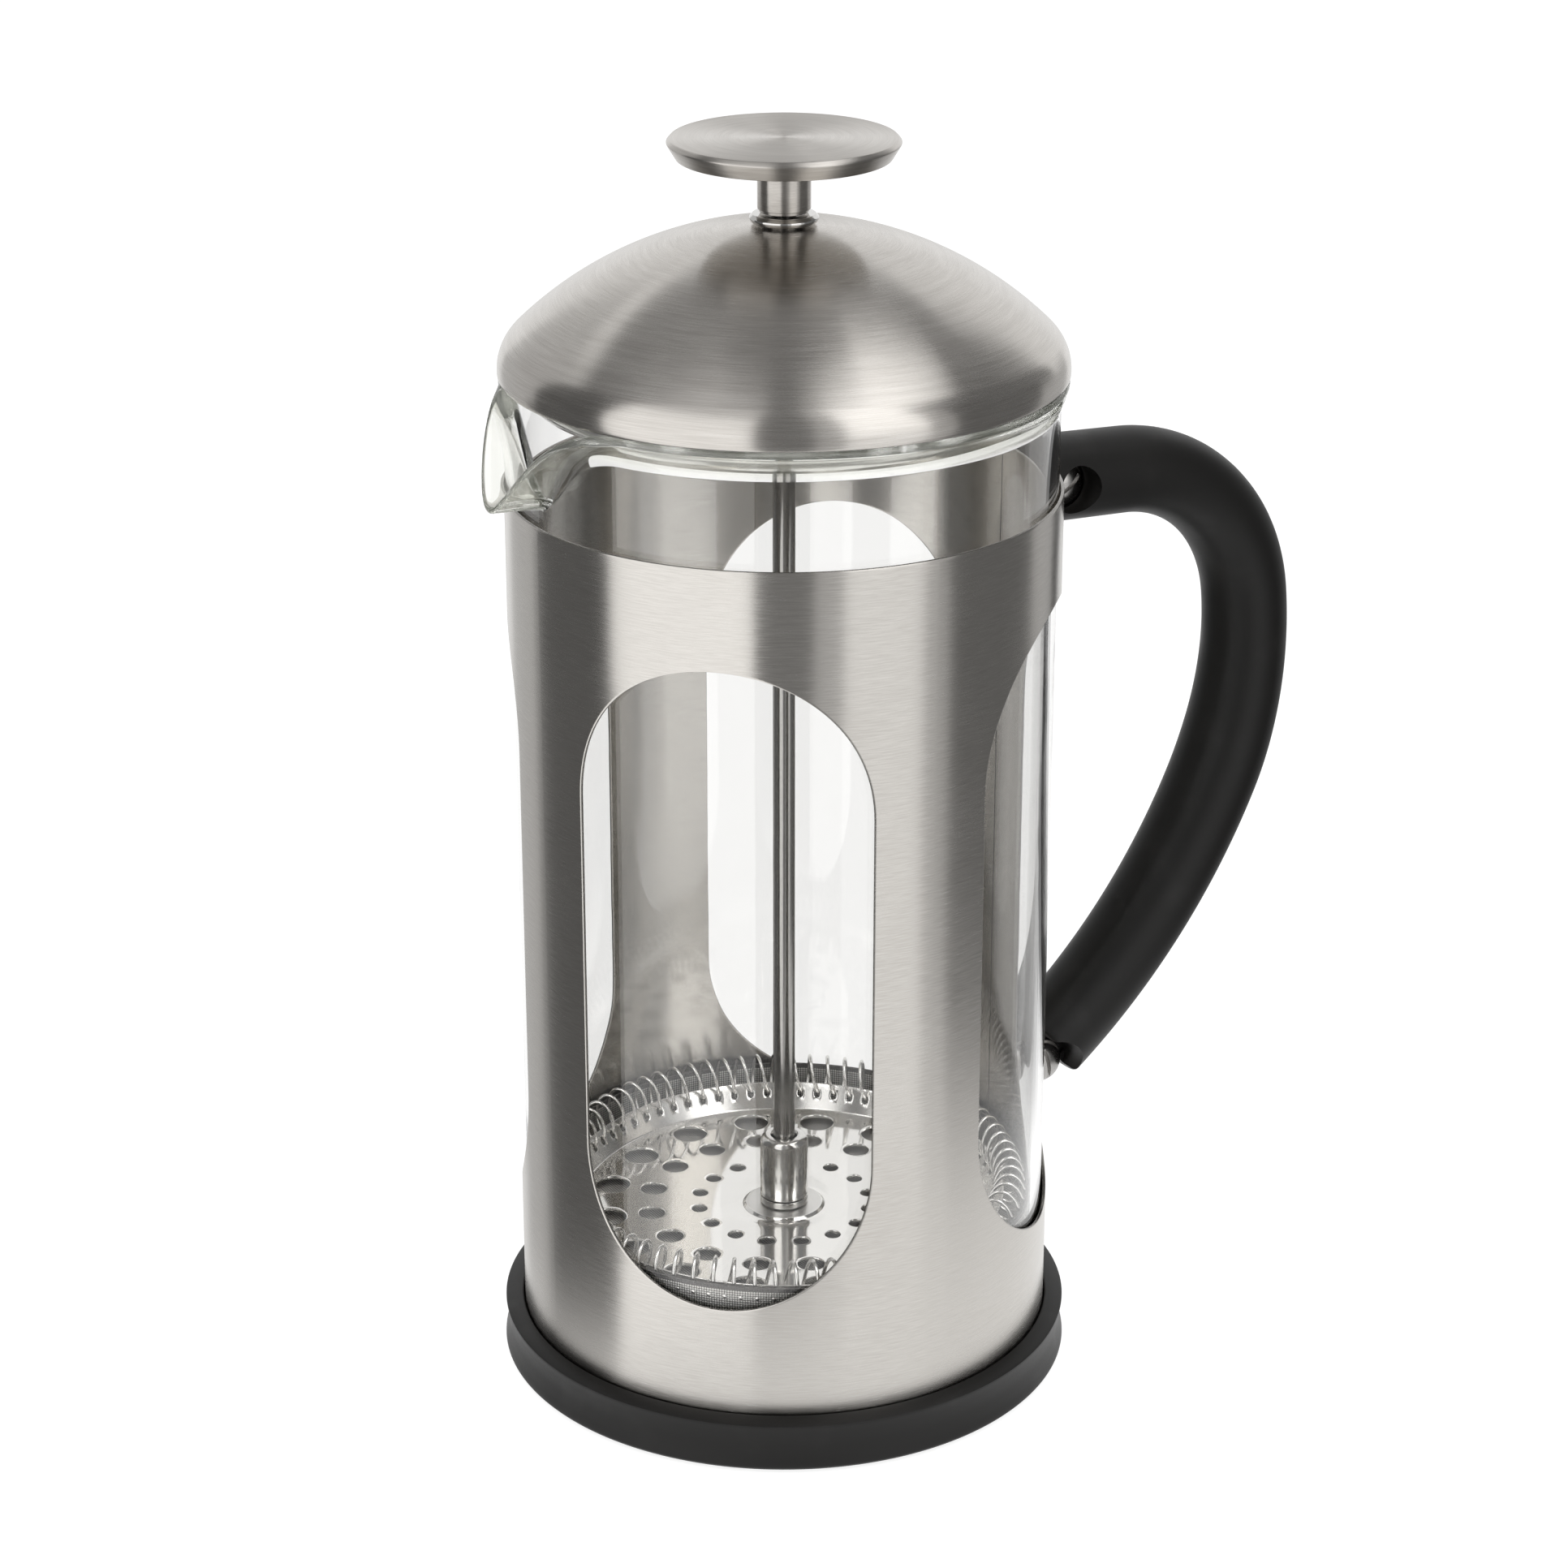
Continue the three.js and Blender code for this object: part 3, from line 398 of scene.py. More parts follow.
def carve(shape: bpy.types.Object, cutters: Sequence[bpy.types.Object]) -> bpy.types.Object:
    """Cuts closed shapes out of a piece and removes them.

    Args:
        shape: The piece to cut.
        cutters: The closed shapes that are taken away from it.

    Returns:
        The piece, as one plain mesh.
    """
    for cutter in cutters:
        cut = shape.modifiers.new("cut", "BOOLEAN")
        cut.operation = "DIFFERENCE"
        cut.solver = "EXACT"
        cut.object = cutter
    settle(shape)
    for cutter in cutters:
        bpy.data.objects.remove(cutter)
    return shape


def settle(shape: bpy.types.Object) -> bpy.types.Object:
    """Turns a piece's modifiers into a plain mesh and removes them.

    Args:
        shape: The piece.

    Returns:
        The piece.
    """
    graph = bpy.context.evaluated_depsgraph_get()
    result = bpy.data.meshes.new_from_object(shape.evaluated_get(graph), depsgraph=graph)
    shape.modifiers.clear()
    shape.data = result
    return shape


# ---------------------------------------------------------------- node trees


def operator(operation: str, swapped: bool = False) -> Callable[[Term, Term | float], Term]:
    """Makes an operator of Term.

    Args:
        operation: The Math node's operation.
        swapped: Whether the term itself comes second.

    Returns:
        The method.
    """

    def method(term: Term, other: Term | float) -> Term:
        """Adds the Math node on the two numbers."""
        pair = (other, term) if swapped else (term, other)
        return term.loom.math(operation, *pair)

    return method


class Term:
    """A number inside a node tree, on which arithmetic adds Math nodes."""

    def __init__(self, loom: Loom, socket: bpy.types.NodeSocket) -> None:
        """Wraps a socket of a tree."""
        self.loom = loom
        self.socket = socket

    __add__ = __radd__ = operator("ADD")
    __sub__ = operator("SUBTRACT")
    __rsub__ = operator("SUBTRACT", swapped=True)
    __mul__ = __rmul__ = operator("MULTIPLY")
    __truediv__ = operator("DIVIDE")
    __pow__ = operator("POWER")

    def __abs__(self) -> Term:
        """Self without its sign."""
        return self.loom.math("ABSOLUTE", self)


class Loom:
    """Adds nodes to one tree, for a surface or for geometry."""

    def __init__(self, tree: bpy.types.NodeTree) -> None:
        """Takes over a tree and clears it."""
        self.tree = tree
        tree.nodes.clear()

    def node(self, kind: str, settings: dict | None = None, inputs: dict | None = None) -> bpy.types.Node:
        """Adds one node.

        Args:
            kind: The node's type.
            settings: The node's own properties.
            inputs: A number, colour, vector, Term or socket for each named or numbered input.

        Returns:
            The node.
        """
        made = self.tree.nodes.new(kind)
        for name, value in (settings or {}).items():
            setattr(made, name, value)
        for name, value in (inputs or {}).items():
            source = value.socket if isinstance(value, Term) else value
            if isinstance(source, bpy.types.NodeSocket):
                self.tree.links.new(source, made.inputs[name])
            else:
                made.inputs[name].default_value = source
        return made

    def out(self, kind: str, inputs: dict | None = None, name: str | int = 0, **settings: str) -> Term:
        """Adds a node and gives one of its outputs, the first by default."""
        return Term(self, self.node(kind, settings, inputs).outputs[name])

    def end(self, kind: str, inputs: dict, output: str = "ShaderNodeOutputMaterial") -> None:
        """Adds the last shader of a surface and leads it to the tree's output."""
        self.node(output, None, {"Surface": self.out(kind, inputs)})

    def math(self, operation: str, *values: Term | float) -> Term:
        """Adds a Math node on one or two numbers."""
        return self.out("ShaderNodeMath", dict(enumerate(values)), operation=operation)

    def spot(self, x: Term | float, y: Term | float, z: Term | float) -> Term:
        """Joins three numbers into a vector."""
        return self.out("ShaderNodeCombineXYZ", {0: x, 1: y, 2: z})

    def split(self, vector: Term) -> tuple[Term, Term, Term]:
        """Splits a vector into three numbers."""
        made = self.node("ShaderNodeSeparateXYZ", None, {0: vector})
        return tuple(Term(self, made.outputs[i]) for i in range(3))

    def cloud(self, place: Term, scale: float, detail: float = 2, roughness: float = 0.5) -> Term:
        """A noise, from 0 to 1, at a place in millimetres; scale is its waves per millimetre."""
        inputs = {"Vector": place, "Scale": scale, "Detail": detail, "Roughness": roughness}
        return self.out("ShaderNodeTexNoise", inputs)

    def ramp(self, value: Term, low: float, high: float) -> Term:
        """A value taken smoothly from 0 at low to 1 at high."""
        inputs = {0: value, 1: low, 2: high}
        return self.out("ShaderNodeMapRange", inputs, interpolation_type="SMOOTHSTEP")

    def blend(self, share: Term | float, first: Term | Triple, second: Term | Triple) -> Term:
        """A mix of two colours."""
        tones = [tone if isinstance(tone, Term) else (*tone, 1.0) for tone in (first, second)]
        return self.out("ShaderNodeMix", {0: share, 6: tones[0], 7: tones[1]}, 2, data_type="RGBA")

    def bump(self, strength: float, distance: float, height: Term) -> Term:
        """A bumped normal, with its distance in millimetres."""
        return self.out(
            "ShaderNodeBump", {"Strength": strength, "Distance": distance * MM, "Height": height}
        )

    def place(self) -> Term:
        """The place on the piece in the row frame, in millimetres."""
        coordinates = self.out("ShaderNodeTexCoord", None, "Object")
        return self.out("ShaderNodeVectorMath", {0: coordinates, "Scale": 1 / MM}, operation="SCALE")

    def rays(self, *kinds: str) -> Term:
        """Asks the light path about a ray.

        Args:
            kinds: The path's outputs, such as "Is Glossy Ray".

        Returns:
            The largest of them, which is 0 where none holds.
        """
        path = self.node("ShaderNodeLightPath").outputs
        found = Term(self, path[kinds[0]])
        for kind in kinds[1:]:
            found = self.math("MAXIMUM", found, Term(self, path[kind]))
        return found


def surface(name: str) -> tuple[bpy.types.Material, Loom]:
    """Makes an empty material.

    Args:
        name: The material's name.

    Returns:
        The material and the loom of its cleared tree.
    """
    made = bpy.data.materials.new(name)
    made.use_nodes = True
    return made, Loom(made.node_tree)


# ---------------------------------------------------------------- finishes


@dataclass(frozen=True)
class Finish:
    """A procedural surface; every kind says what goes into its one Principled shader."""

    name: str

    def inputs(self, loom: Loom, place: Term) -> dict[str, object]:
        """Adds the kind's nodes.

        Args:
            loom: The material's loom.
            place: The place on the piece, in millimetres.

        Returns:
            The shader's inputs.
        """
        raise NotImplementedError

    @cache
    def material(self) -> bpy.types.Material:
        """Gives the finish's material, which is made at its first use."""
        made, loom = surface(self.name)
        loom.end("ShaderNodeBsdfPrincipled", self.inputs(loom, loom.place()))
        return made


@dataclass(frozen=True)
class BrushedSteel(Finish):
    """Stainless steel with a fine grain from an abrasive belt or wheel."""

    dark: Triple = (0.475, 0.451, 0.42)
    light: Triple = (0.638, 0.612, 0.578)
    roughness: float = 0.26
    stretch: float = 0.88
    grain: Grain = Grain.ROUND_AXIS
    lines_per_mm: float = 5.5
    turns_per_line: float = 5.0
    along_per_mm: float = 0.08
    relief: float = 0.1
    relief_depth: float = 0.03
    grain_share: float = 0.8
    grain_matt: float = 0.12
    band_along: float = 0.4
    band_across: float = 0.7
    mottle: float = 0.25
    stain: float = 0.2
    stain_matt: float = 0.08
    least_square: float = 0.01
    lining: float = 0.0
    lining_fade: float = 0.02
    cut_from: float = 0.0
    cut_to: float = 0.0
    cut_fade: float = 0.04
    cut_shade: float = 0.45

    def inputs(self, loom: Loom, place: Term) -> dict[str, object]:
        """Lays the grain, coarser bands and stains; inside the lining's radius nothing is brushed.

        Args:
            loom: The material's loom.
            place: The place on the piece, in millimetres.

        Returns:
            The shader's inputs.
        """
        x, y, z = loom.split(place)
        radius = (x * x + y * y + self.least_square) ** 0.5
        if self.grain is Grain.ROUND_AXIS:
            along = (x / radius * self.turns_per_line, y / radius * self.turns_per_line)
            across = z - radius
        else:
            along = (x * self.along_per_mm, z * self.along_per_mm)
            across = y
        lines = loom.spot(*along, across * self.lines_per_mm)
        fine = loom.cloud(lines, scale=1.0, detail=3, roughness=0.6)
        bands = loom.spot(*(way * self.band_along for way in along), across * self.band_across)
        band = loom.cloud(bands, scale=1.0, detail=2)
        stain = loom.cloud(place, scale=0.06, detail=3)
        mixed = fine * (self.grain_share - self.mottle) + band * self.mottle + stain * self.stain
        tone = loom.ramp(mixed, low=0.3, high=0.7)
        brushed = loom.ramp(radius, self.lining - self.lining_fade, self.lining + self.lining_fade)
        # The sheet's cut edges, between cut_from and cut_to, are darkened to cut_shade times the dark tone.
        cut = loom.ramp(radius, self.cut_from, self.cut_from + self.cut_fade) - loom.ramp(
            radius, self.cut_to - self.cut_fade, self.cut_to
        )
        edge_tone = tuple(part * self.cut_shade for part in self.dark)
        return {
            "Metallic": 1.0,
            "Anisotropic": self.stretch,
            "Anisotropic Rotation": 0.25,
            "Base Color": loom.blend(cut, loom.blend(tone, self.dark, self.light), edge_tone),
            "Roughness": self.roughness
            + (fine - 0.5) * brushed * self.grain_matt
            + (stain - 0.5) * self.stain_matt,
            "Normal": loom.bump(self.relief, self.relief_depth, fine * brushed),
        }


@dataclass(frozen=True)
class PolishedSteel(Finish):
    """Bright stainless steel with faint handling marks, matt within a radius."""

    tone: Triple = (0.66, 0.652, 0.635)
    roughness: float = 0.06
    matt_radius: float = 0.0
    matt: float = 0.3
    worn: float = 0.86

    def inputs(self, loom: Loom, place: Term) -> dict[str, object]:
        """Lays haze and slanting scratches.

        Args:
            loom: The material's loom.
            place: The place on the piece, in millimetres.

        Returns:
            The shader's inputs.
        """
        x, y, z = loom.split(place)
        haze = loom.cloud(place, scale=0.12, detail=4)
        slanted = loom.spot(x * 0.35 + y * 2.6, y * 0.4 - x * 0.5, z * 3.0)
        mark = loom.ramp(loom.cloud(slanted, scale=1.0, detail=3), low=0.6, high=0.72)
        dull = tuple(part * self.worn for part in self.tone)
        outside = loom.ramp((x * x + y * y) ** 0.5, self.matt_radius - 0.2, self.matt_radius + 0.1)
        return {
            "Metallic": 1.0,
            "Base Color": loom.blend(mark * 0.4 + haze * 0.3, self.tone, dull),
            "Roughness": self.roughness + haze * 0.05 + mark * 0.06 + (1 - outside) * self.matt,
            "Normal": loom.bump(strength=0.05, distance=0.05, height=haze),
        }


@dataclass(frozen=True)
class WovenSteel(Finish):
    """Fine stainless wire cloth in a plain weave along the piece's own weave coordinates, with a folded hem
    painted dark as shade.
    """

    pitch: float = 0.46
    wire: Triple = (0.8, 0.785, 0.76)
    gap: Triple = (0.16, 0.154, 0.145)
    # Painted shade: the hem's dark tone stands in for the shadow under the coil on the dish's top band.
    hem: Triple = (0.16, 0.155, 0.15)
    hem_height: float = 32.7
    hem_fade: float = 0.1
    relief: float = 0.6
    relief_depth: float = 0.12

    def inputs(self, loom: Loom, place: Term) -> dict[str, object]:
        """Lays the weave's knuckles and, above them, the folded hem in a dark tone of painted shade.

        Args:
            loom: The material's loom.
            place: The place on the piece, in millimetres.

        Returns:
            The shader's inputs.
        """
        u, v, _ = loom.split(loom.out("ShaderNodeUVMap", uv_map=WEAVE_MAP))
        warp, weft = (loom.math("SINE", way * (math.pi / (self.pitch * MM))) for way in (u, v))
        knuckle = abs(warp) * abs(weft)
        stain = loom.cloud(place, scale=0.15, detail=3)
        height = loom.split(place)[2]
        # Painted shade: above hem_height the cloth takes the hem's dark tone.
        hem_shade_mask = loom.ramp(height, self.hem_height - self.hem_fade, self.hem_height + self.hem_fade)
        cloth = loom.blend(loom.ramp(knuckle, low=0.08, high=0.5), self.gap, self.wire)
        return {
            "Base Color": loom.blend(hem_shade_mask, cloth, self.hem),
            "Roughness": 0.3 + stain * 0.2,
            "Metallic": 0.85 + stain * 0.1,
            "Normal": loom.bump(self.relief, self.relief_depth, knuckle * 0.8 + warp * weft * 0.2),
        }


@dataclass(frozen=True)
class MattePlastic(Finish):
    """Black moulded plastic with a fine spark-eroded skin."""

    tone: Triple = (0.009, 0.0085, 0.008)
    worn: Triple = (0.016, 0.0152, 0.0146)
    roughness: float = 0.46
    relief: float = 0.16
    relief_depth: float = 0.05

    def inputs(self, loom: Loom, place: Term) -> dict[str, object]:
        """Lays the skin and the rubbed, smoother patches.

        Args:
            loom: The material's loom.
            place: The place on the piece, in millimetres.

        Returns:
            The shader's inputs.
        """
        skin = loom.cloud(place, scale=3.5, detail=2)
        worn = loom.ramp(loom.cloud(place, scale=0.09, detail=4), low=0.52, high=0.78)
        return {
            "Specular IOR Level": 0.3,
            "Base Color": loom.blend(worn * 0.6 + skin * 0.25, self.tone, self.worn),
            "Roughness": self.roughness + (skin - 0.5) * 0.1 - worn * 0.06,
            "Normal": loom.bump(self.relief, self.relief_depth, skin),
        }


@dataclass(frozen=True)
class ClearGlass(Finish):
    """Blown borosilicate glass, faintly green where it is worked thicker at the rim and the spout, which also
    carry a faint painted glow.
    """

    clear: Triple = (0.972, 0.97, 0.963)
    smeared: Triple = (0.954, 0.952, 0.944)
    worked: Triple = (0.974, 0.976, 0.938)
    # The colour of the painted glow on the rim and the spout, a light of their own.
    painted_glow: Triple = (0.015, 0.0165, 0.012)
    worked_glow_radius: float = 47.9
    worked_glow_height: float = 181.5
    worked_alpha: float = 0.92
    ior: float = 1.47
    relief: float = 0.08
    relief_depth: float = 0.4

    def inputs(self, loom: Loom, place: Term) -> dict[str, object]:
        """Lays ripples, smears, the worked rim's green tint and the painted glow of the rim and the spout.

        Args:
            loom: The material's loom.
            place: The place on the piece, in millimetres.

        Returns:
            The shader's inputs.
        """
        ripple = loom.cloud(place, scale=0.045, detail=2)
        smear = loom.ramp(loom.cloud(place, scale=0.08, detail=4), low=0.5, high=0.85)
        x, y, z = loom.split(place)
        spout = loom.ramp((x * x + y * y) ** 0.5, self.worked_glow_radius, self.worked_glow_radius + 0.6)
        rim = loom.math("MAXIMUM", spout, loom.ramp(z, self.worked_glow_height, self.worked_glow_height + 2.0))
        wall = loom.blend(smear, self.clear, self.smeared)
        return {
            "Transmission Weight": 1.0,
            "IOR": self.ior,
            # Painted glow: Emission Strength and Emission Color make the rim and the spout give off a faint
            # light.
            "Emission Strength": 1.0,
            "Base Color": loom.blend(rim, wall, self.worked),
            "Roughness": smear * 0.012,
            "Alpha": 1 - rim * (1 - self.worked_alpha),
            "Emission Color": loom.blend(rim, (0, 0, 0), self.painted_glow),
            "Normal": loom.bump(self.relief, self.relief_depth, ripple),
        }


LID_STEEL = BrushedSteel("brushed_steel_lid")
SLEEVE_STEEL = BrushedSteel(
    "brushed_steel_sleeve",
    dark=(0.532, 0.51, 0.479),
    light=(0.618, 0.596, 0.562),
    roughness=0.25,
    turns_per_line=12.0,
    relief=0.09,
    mottle=0.05,
    lining=48.4,
    cut_from=48.14,
    cut_to=48.66,
)
EAR_STEEL = BrushedSteel("brushed_steel_ears", grain=Grain.ALONG_AXIS, stretch=0.3)
# Painted light: the pan's steel is a much brighter copy of the lid's brushed steel, standing in for the
# bright reflections seen on it through the glass.
PAN_STEEL = BrushedSteel(
    "brushed_steel_pan", dark=(0.76, 0.75, 0.73), light=(0.88, 0.87, 0.85), roughness=0.2, stretch=0.4
)
KNOB_STEEL = BrushedSteel("brushed_steel_knob", roughness=0.34, turns_per_line=2.2)
BRIGHT_STEEL = PolishedSteel("polished_steel")
# Painted reflection: the plate's tone is a brighter copy of the polished steel, standing in for the white
# reflection on it.
PLATE_STEEL = PolishedSteel("stamped_steel_plate", (0.85, 0.84, 0.82), roughness=0.05, matt_radius=7.1)
HUB_STEEL = PolishedSteel("turned_steel_hub", (0.8, 0.79, 0.77), roughness=0.15)
# Painted light: the spring wire's tone is a brighter copy of the polished steel, standing in for the coil's
# highlights seen through the glass; the hem's welds share it.
WIRE_STEEL = PolishedSteel("spring_wire", (0.78, 0.77, 0.75), roughness=0.1)
SCREW_STEEL = PolishedSteel("clamp_screw_steel", (0.4, 0.39, 0.378), roughness=0.24)
ROD_STEEL = PolishedSteel("drawn_steel_rod", (0.46, 0.45, 0.435), roughness=0.14)
WIRE_CLOTH = WovenSteel("woven_steel")
PLASTIC = MattePlastic("black_plastic")
GLASS = ClearGlass("clear_glass")


# ---------------------------------------------------------------- geometry node trees


class Grower:
    """A geometry tree with named inputs, grown on an object and turned into its plain mesh."""

    def __init__(self, name: str, whole: Sequence[str], real: Sequence[str]) -> None:
        """Makes the tree with its inputs.

        Args:
            name: The tree's name.
            whole: The names of the inputs that are whole numbers.
            real: The names of the other numbers.
        """
        self.tree = bpy.data.node_groups.new(name, "GeometryNodeTree")
        self.loom = Loom(self.tree)
        sockets = self.tree.interface
        sockets.new_socket("Geometry", in_out="OUTPUT", socket_type="NodeSocketGeometry")
        kinds = {
            "Geometry": "NodeSocketGeometry",
            **{word: "NodeSocketInt" for word in whole},
            **{word: "NodeSocketFloat" for word in real},
            "Material": "NodeSocketMaterial",
        }
        self.keys = {
            word: sockets.new_socket(word, in_out="INPUT", socket_type=kind).identifier
            for word, kind in kinds.items()
        }
        self.given = self.loom.node("NodeGroupInput")

    def term(self, name: str) -> Term:
        """One of the tree's inputs."""
        return Term(self.loom, self.given.outputs[name])

    def end(self, geometry: Term) -> Grower:
        """Ends the tree: instances are realised, welded and get their material.

        Args:
            geometry: What the tree has made.

        Returns:
            This grower.
        """
        real = self.loom.out("GeometryNodeRealizeInstances", {0: geometry})
        joined = self.loom.out("GeometryNodeMergeByDistance", {"Geometry": real, "Distance": WELD})
        inputs = {"Geometry": joined, "Material": self.term("Material")}
        self.loom.node("NodeGroupOutput", None, {0: self.loom.out("GeometryNodeSetMaterial", inputs)})
        return self

    def grow(self, shape: bpy.types.Object, finish: Finish, values: dict[str, float]) -> bpy.types.Object:
        """Runs the tree on a piece and keeps the result as its mesh.

        Args:
            shape: The piece whose geometry goes in.
            finish: The finish of what comes out.
            values: A value for each named input.

        Returns:
            The piece.
        """
        modifier = shape.modifiers.new(self.tree.name, "NODES")
        modifier.node_group = self.tree
        for name, value in {**values, "Material": finish.material()}.items():
            modifier[self.keys[name]] = value
        settle(shape)
        tidy_mesh(shape.data)
        return shape


@cache
def ring_grower() -> Grower:
    """Builds the tree that repeats a form evenly round the Z axis.

    Returns:
        The tree's grower.
    """
    grower = Grower("repeat_round_axis", ["Count"], ["Start Angle"])
    loom = grower.loom
    points = loom.out("GeometryNodePoints", {"Count": grower.term("Count")})
    index = loom.out("GeometryNodeInputIndex")
    angle = grower.term("Start Angle") + index * FULL_TURN / grower.term("Count")
    inputs = {"Points": points, "Instance": grower.term("Geometry"), "Rotation": loom.spot(0.0, 0.0, angle)}
    return grower.end(loom.out("GeometryNodeInstanceOnPoints", inputs))


def repeated(shape: bpy.types.Object, finish: Finish, count: int, start: float = 0.0) -> bpy.types.Object:
    """Repeats a form so many times round the Z axis, from a start angle in degrees."""
    return ring_grower().grow(shape, finish, {"Count": count, "Start Angle": math.radians(start)})


def coil_grower() -> Grower:
    """Builds the tree that winds a wire round a ring.

    Returns:
        The tree's grower.
    """
    sizes = ("Ring Radius", "Height", "Loop Reach", "Loop Rise")
    names = (*sizes, "Lean", "Turns", "Joint Angle", "Wire Radius")
    grower = Grower("wound_ring", ["Steps"], names)
    loom = grower.loom
    ring, height, reach, rise, lean, turns, joint, wire = (grower.term(name) for name in names)
    line = loom.out("GeometryNodeMeshLine", {"Count": grower.term("Steps")})
    share = loom.out("GeometryNodeInputIndex") / (grower.term("Steps") - 1)
    wind = share * turns * FULL_TURN
    up = loom.math("SINE", wind)
    angle = joint / 2 + share * (FULL_TURN - joint) + up * lean
    radius = ring + reach * loom.math("COSINE", wind)
    place = loom.spot(
        radius * loom.math("COSINE", angle), radius * loom.math("SINE", angle), height + rise * up
    )
    wound = loom.out("GeometryNodeSetPosition", {"Geometry": line, "Position": place})
    curve = loom.out("GeometryNodeMeshToCurve", {0: wound})
    section = loom.out("GeometryNodeCurvePrimitiveCircle", {"Resolution": WIRE_SIDES, "Radius": wire})
    inputs = {"Curve": curve, "Profile Curve": section, "Fill Caps": True}
    return grower.end(loom.out("GeometryNodeCurveToMesh", inputs))


# ---------------------------------------------------------------- fitting pieces to the frame


def fit(shape: bpy.types.Object, body: Body, slot: Slot, finish: Finish, node: str) -> None:
    """Dresses a finished piece and puts it in the place of its solid.

    Args:
        shape: The finished piece.
        body: The body that it rides on.
        slot: The record's material slot; not used.
        finish: Its finish.
        node: The solid that it stands for.
    """
    shape.data.materials.clear()
    shape.data.materials.append(finish.material())
    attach(shape, body.value)
    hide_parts(node)
    logger.info("%s: %d faces on %s", shape.name, len(shape.data.polygons), body.value)


def block(name: str, low: Triple, high: Triple) -> bpy.types.Object:
    """Makes a box between two corners, to cut with."""
    floor = np.array([(low[0], low[1]), (high[0], low[1]), (high[0], high[1]), (low[0], high[1])], float)
    return stacked([(floor, low[2]), (floor, high[2])]).shape(name)


def bar_along_y(name: str, place: Pair, radius: float, start: float, end: float) -> bpy.types.Object:
    """Makes a round bar along Y, to cut with.

    Args:
        name: The bar's name.
        place: Its place in the XZ plane.
        radius: Its radius.
        start: The Y of one end.
        end: The Y of the other.

    Returns:
        The bar.
    """
    low, high = sorted((start, end))
    draft = turned([(0, low), (radius, low), (radius, high), (0, high)], sides=96)
    shift = Matrix.Translation((place[0], 0, place[1]))
    return draft.moved(shift @ Matrix.Rotation(-math.pi / 2, 4, "X")).shape(name)


def upright(outline: Sequence[Pair], thickness: float, edge: float, y: float) -> Draft:
    """Makes a flat plate that stands in the XZ plane, with its far face at Y."""
    turn = Matrix.Translation((0, y, 0)) @ Matrix.Rotation(math.pi / 2, 4, "X")
    return pulled(outline, thickness, edge).moved(turn)


# ---------------------------------------------------------------- pot


@dataclass
class Foot:
    """The moulded cup that the beaker and the sleeve stand in, drawn in (radius, height)."""

    under: tuple[Pair, ...] = ((0, 0), (49.2, 0), (49.5, 0.1), (51.4, 0.1), (52.0, 0.24))
    waist: tuple[Pair, ...] = (
        (52.36, 0.62),
        (52.48, 1.1),
        (52.09, 3.0),
        (51.87, 5.2),
        (52.01, 7.2),
        (52.28, 8.7),
    )
    waist_steps: int = 5
    rim: tuple[Pair, ...] = ((52.28, 9.0), (52.0, 9.2), (49.5, 9.58), (49.2, 9.58), (49.0, 9.4))
    inside: tuple[Pair, ...] = ((49.0, 4.6), (0, 4.6))

    def build(self) -> None:
        """Makes the cup."""
        profile = [*self.under, *smooth_line(self.waist, self.waist_steps), *self.rim, *self.inside]
        fit(soften(turned(profile).shape("foot_cup")), Body.POT, Slot.PLASTIC, PLASTIC, "base_cup")


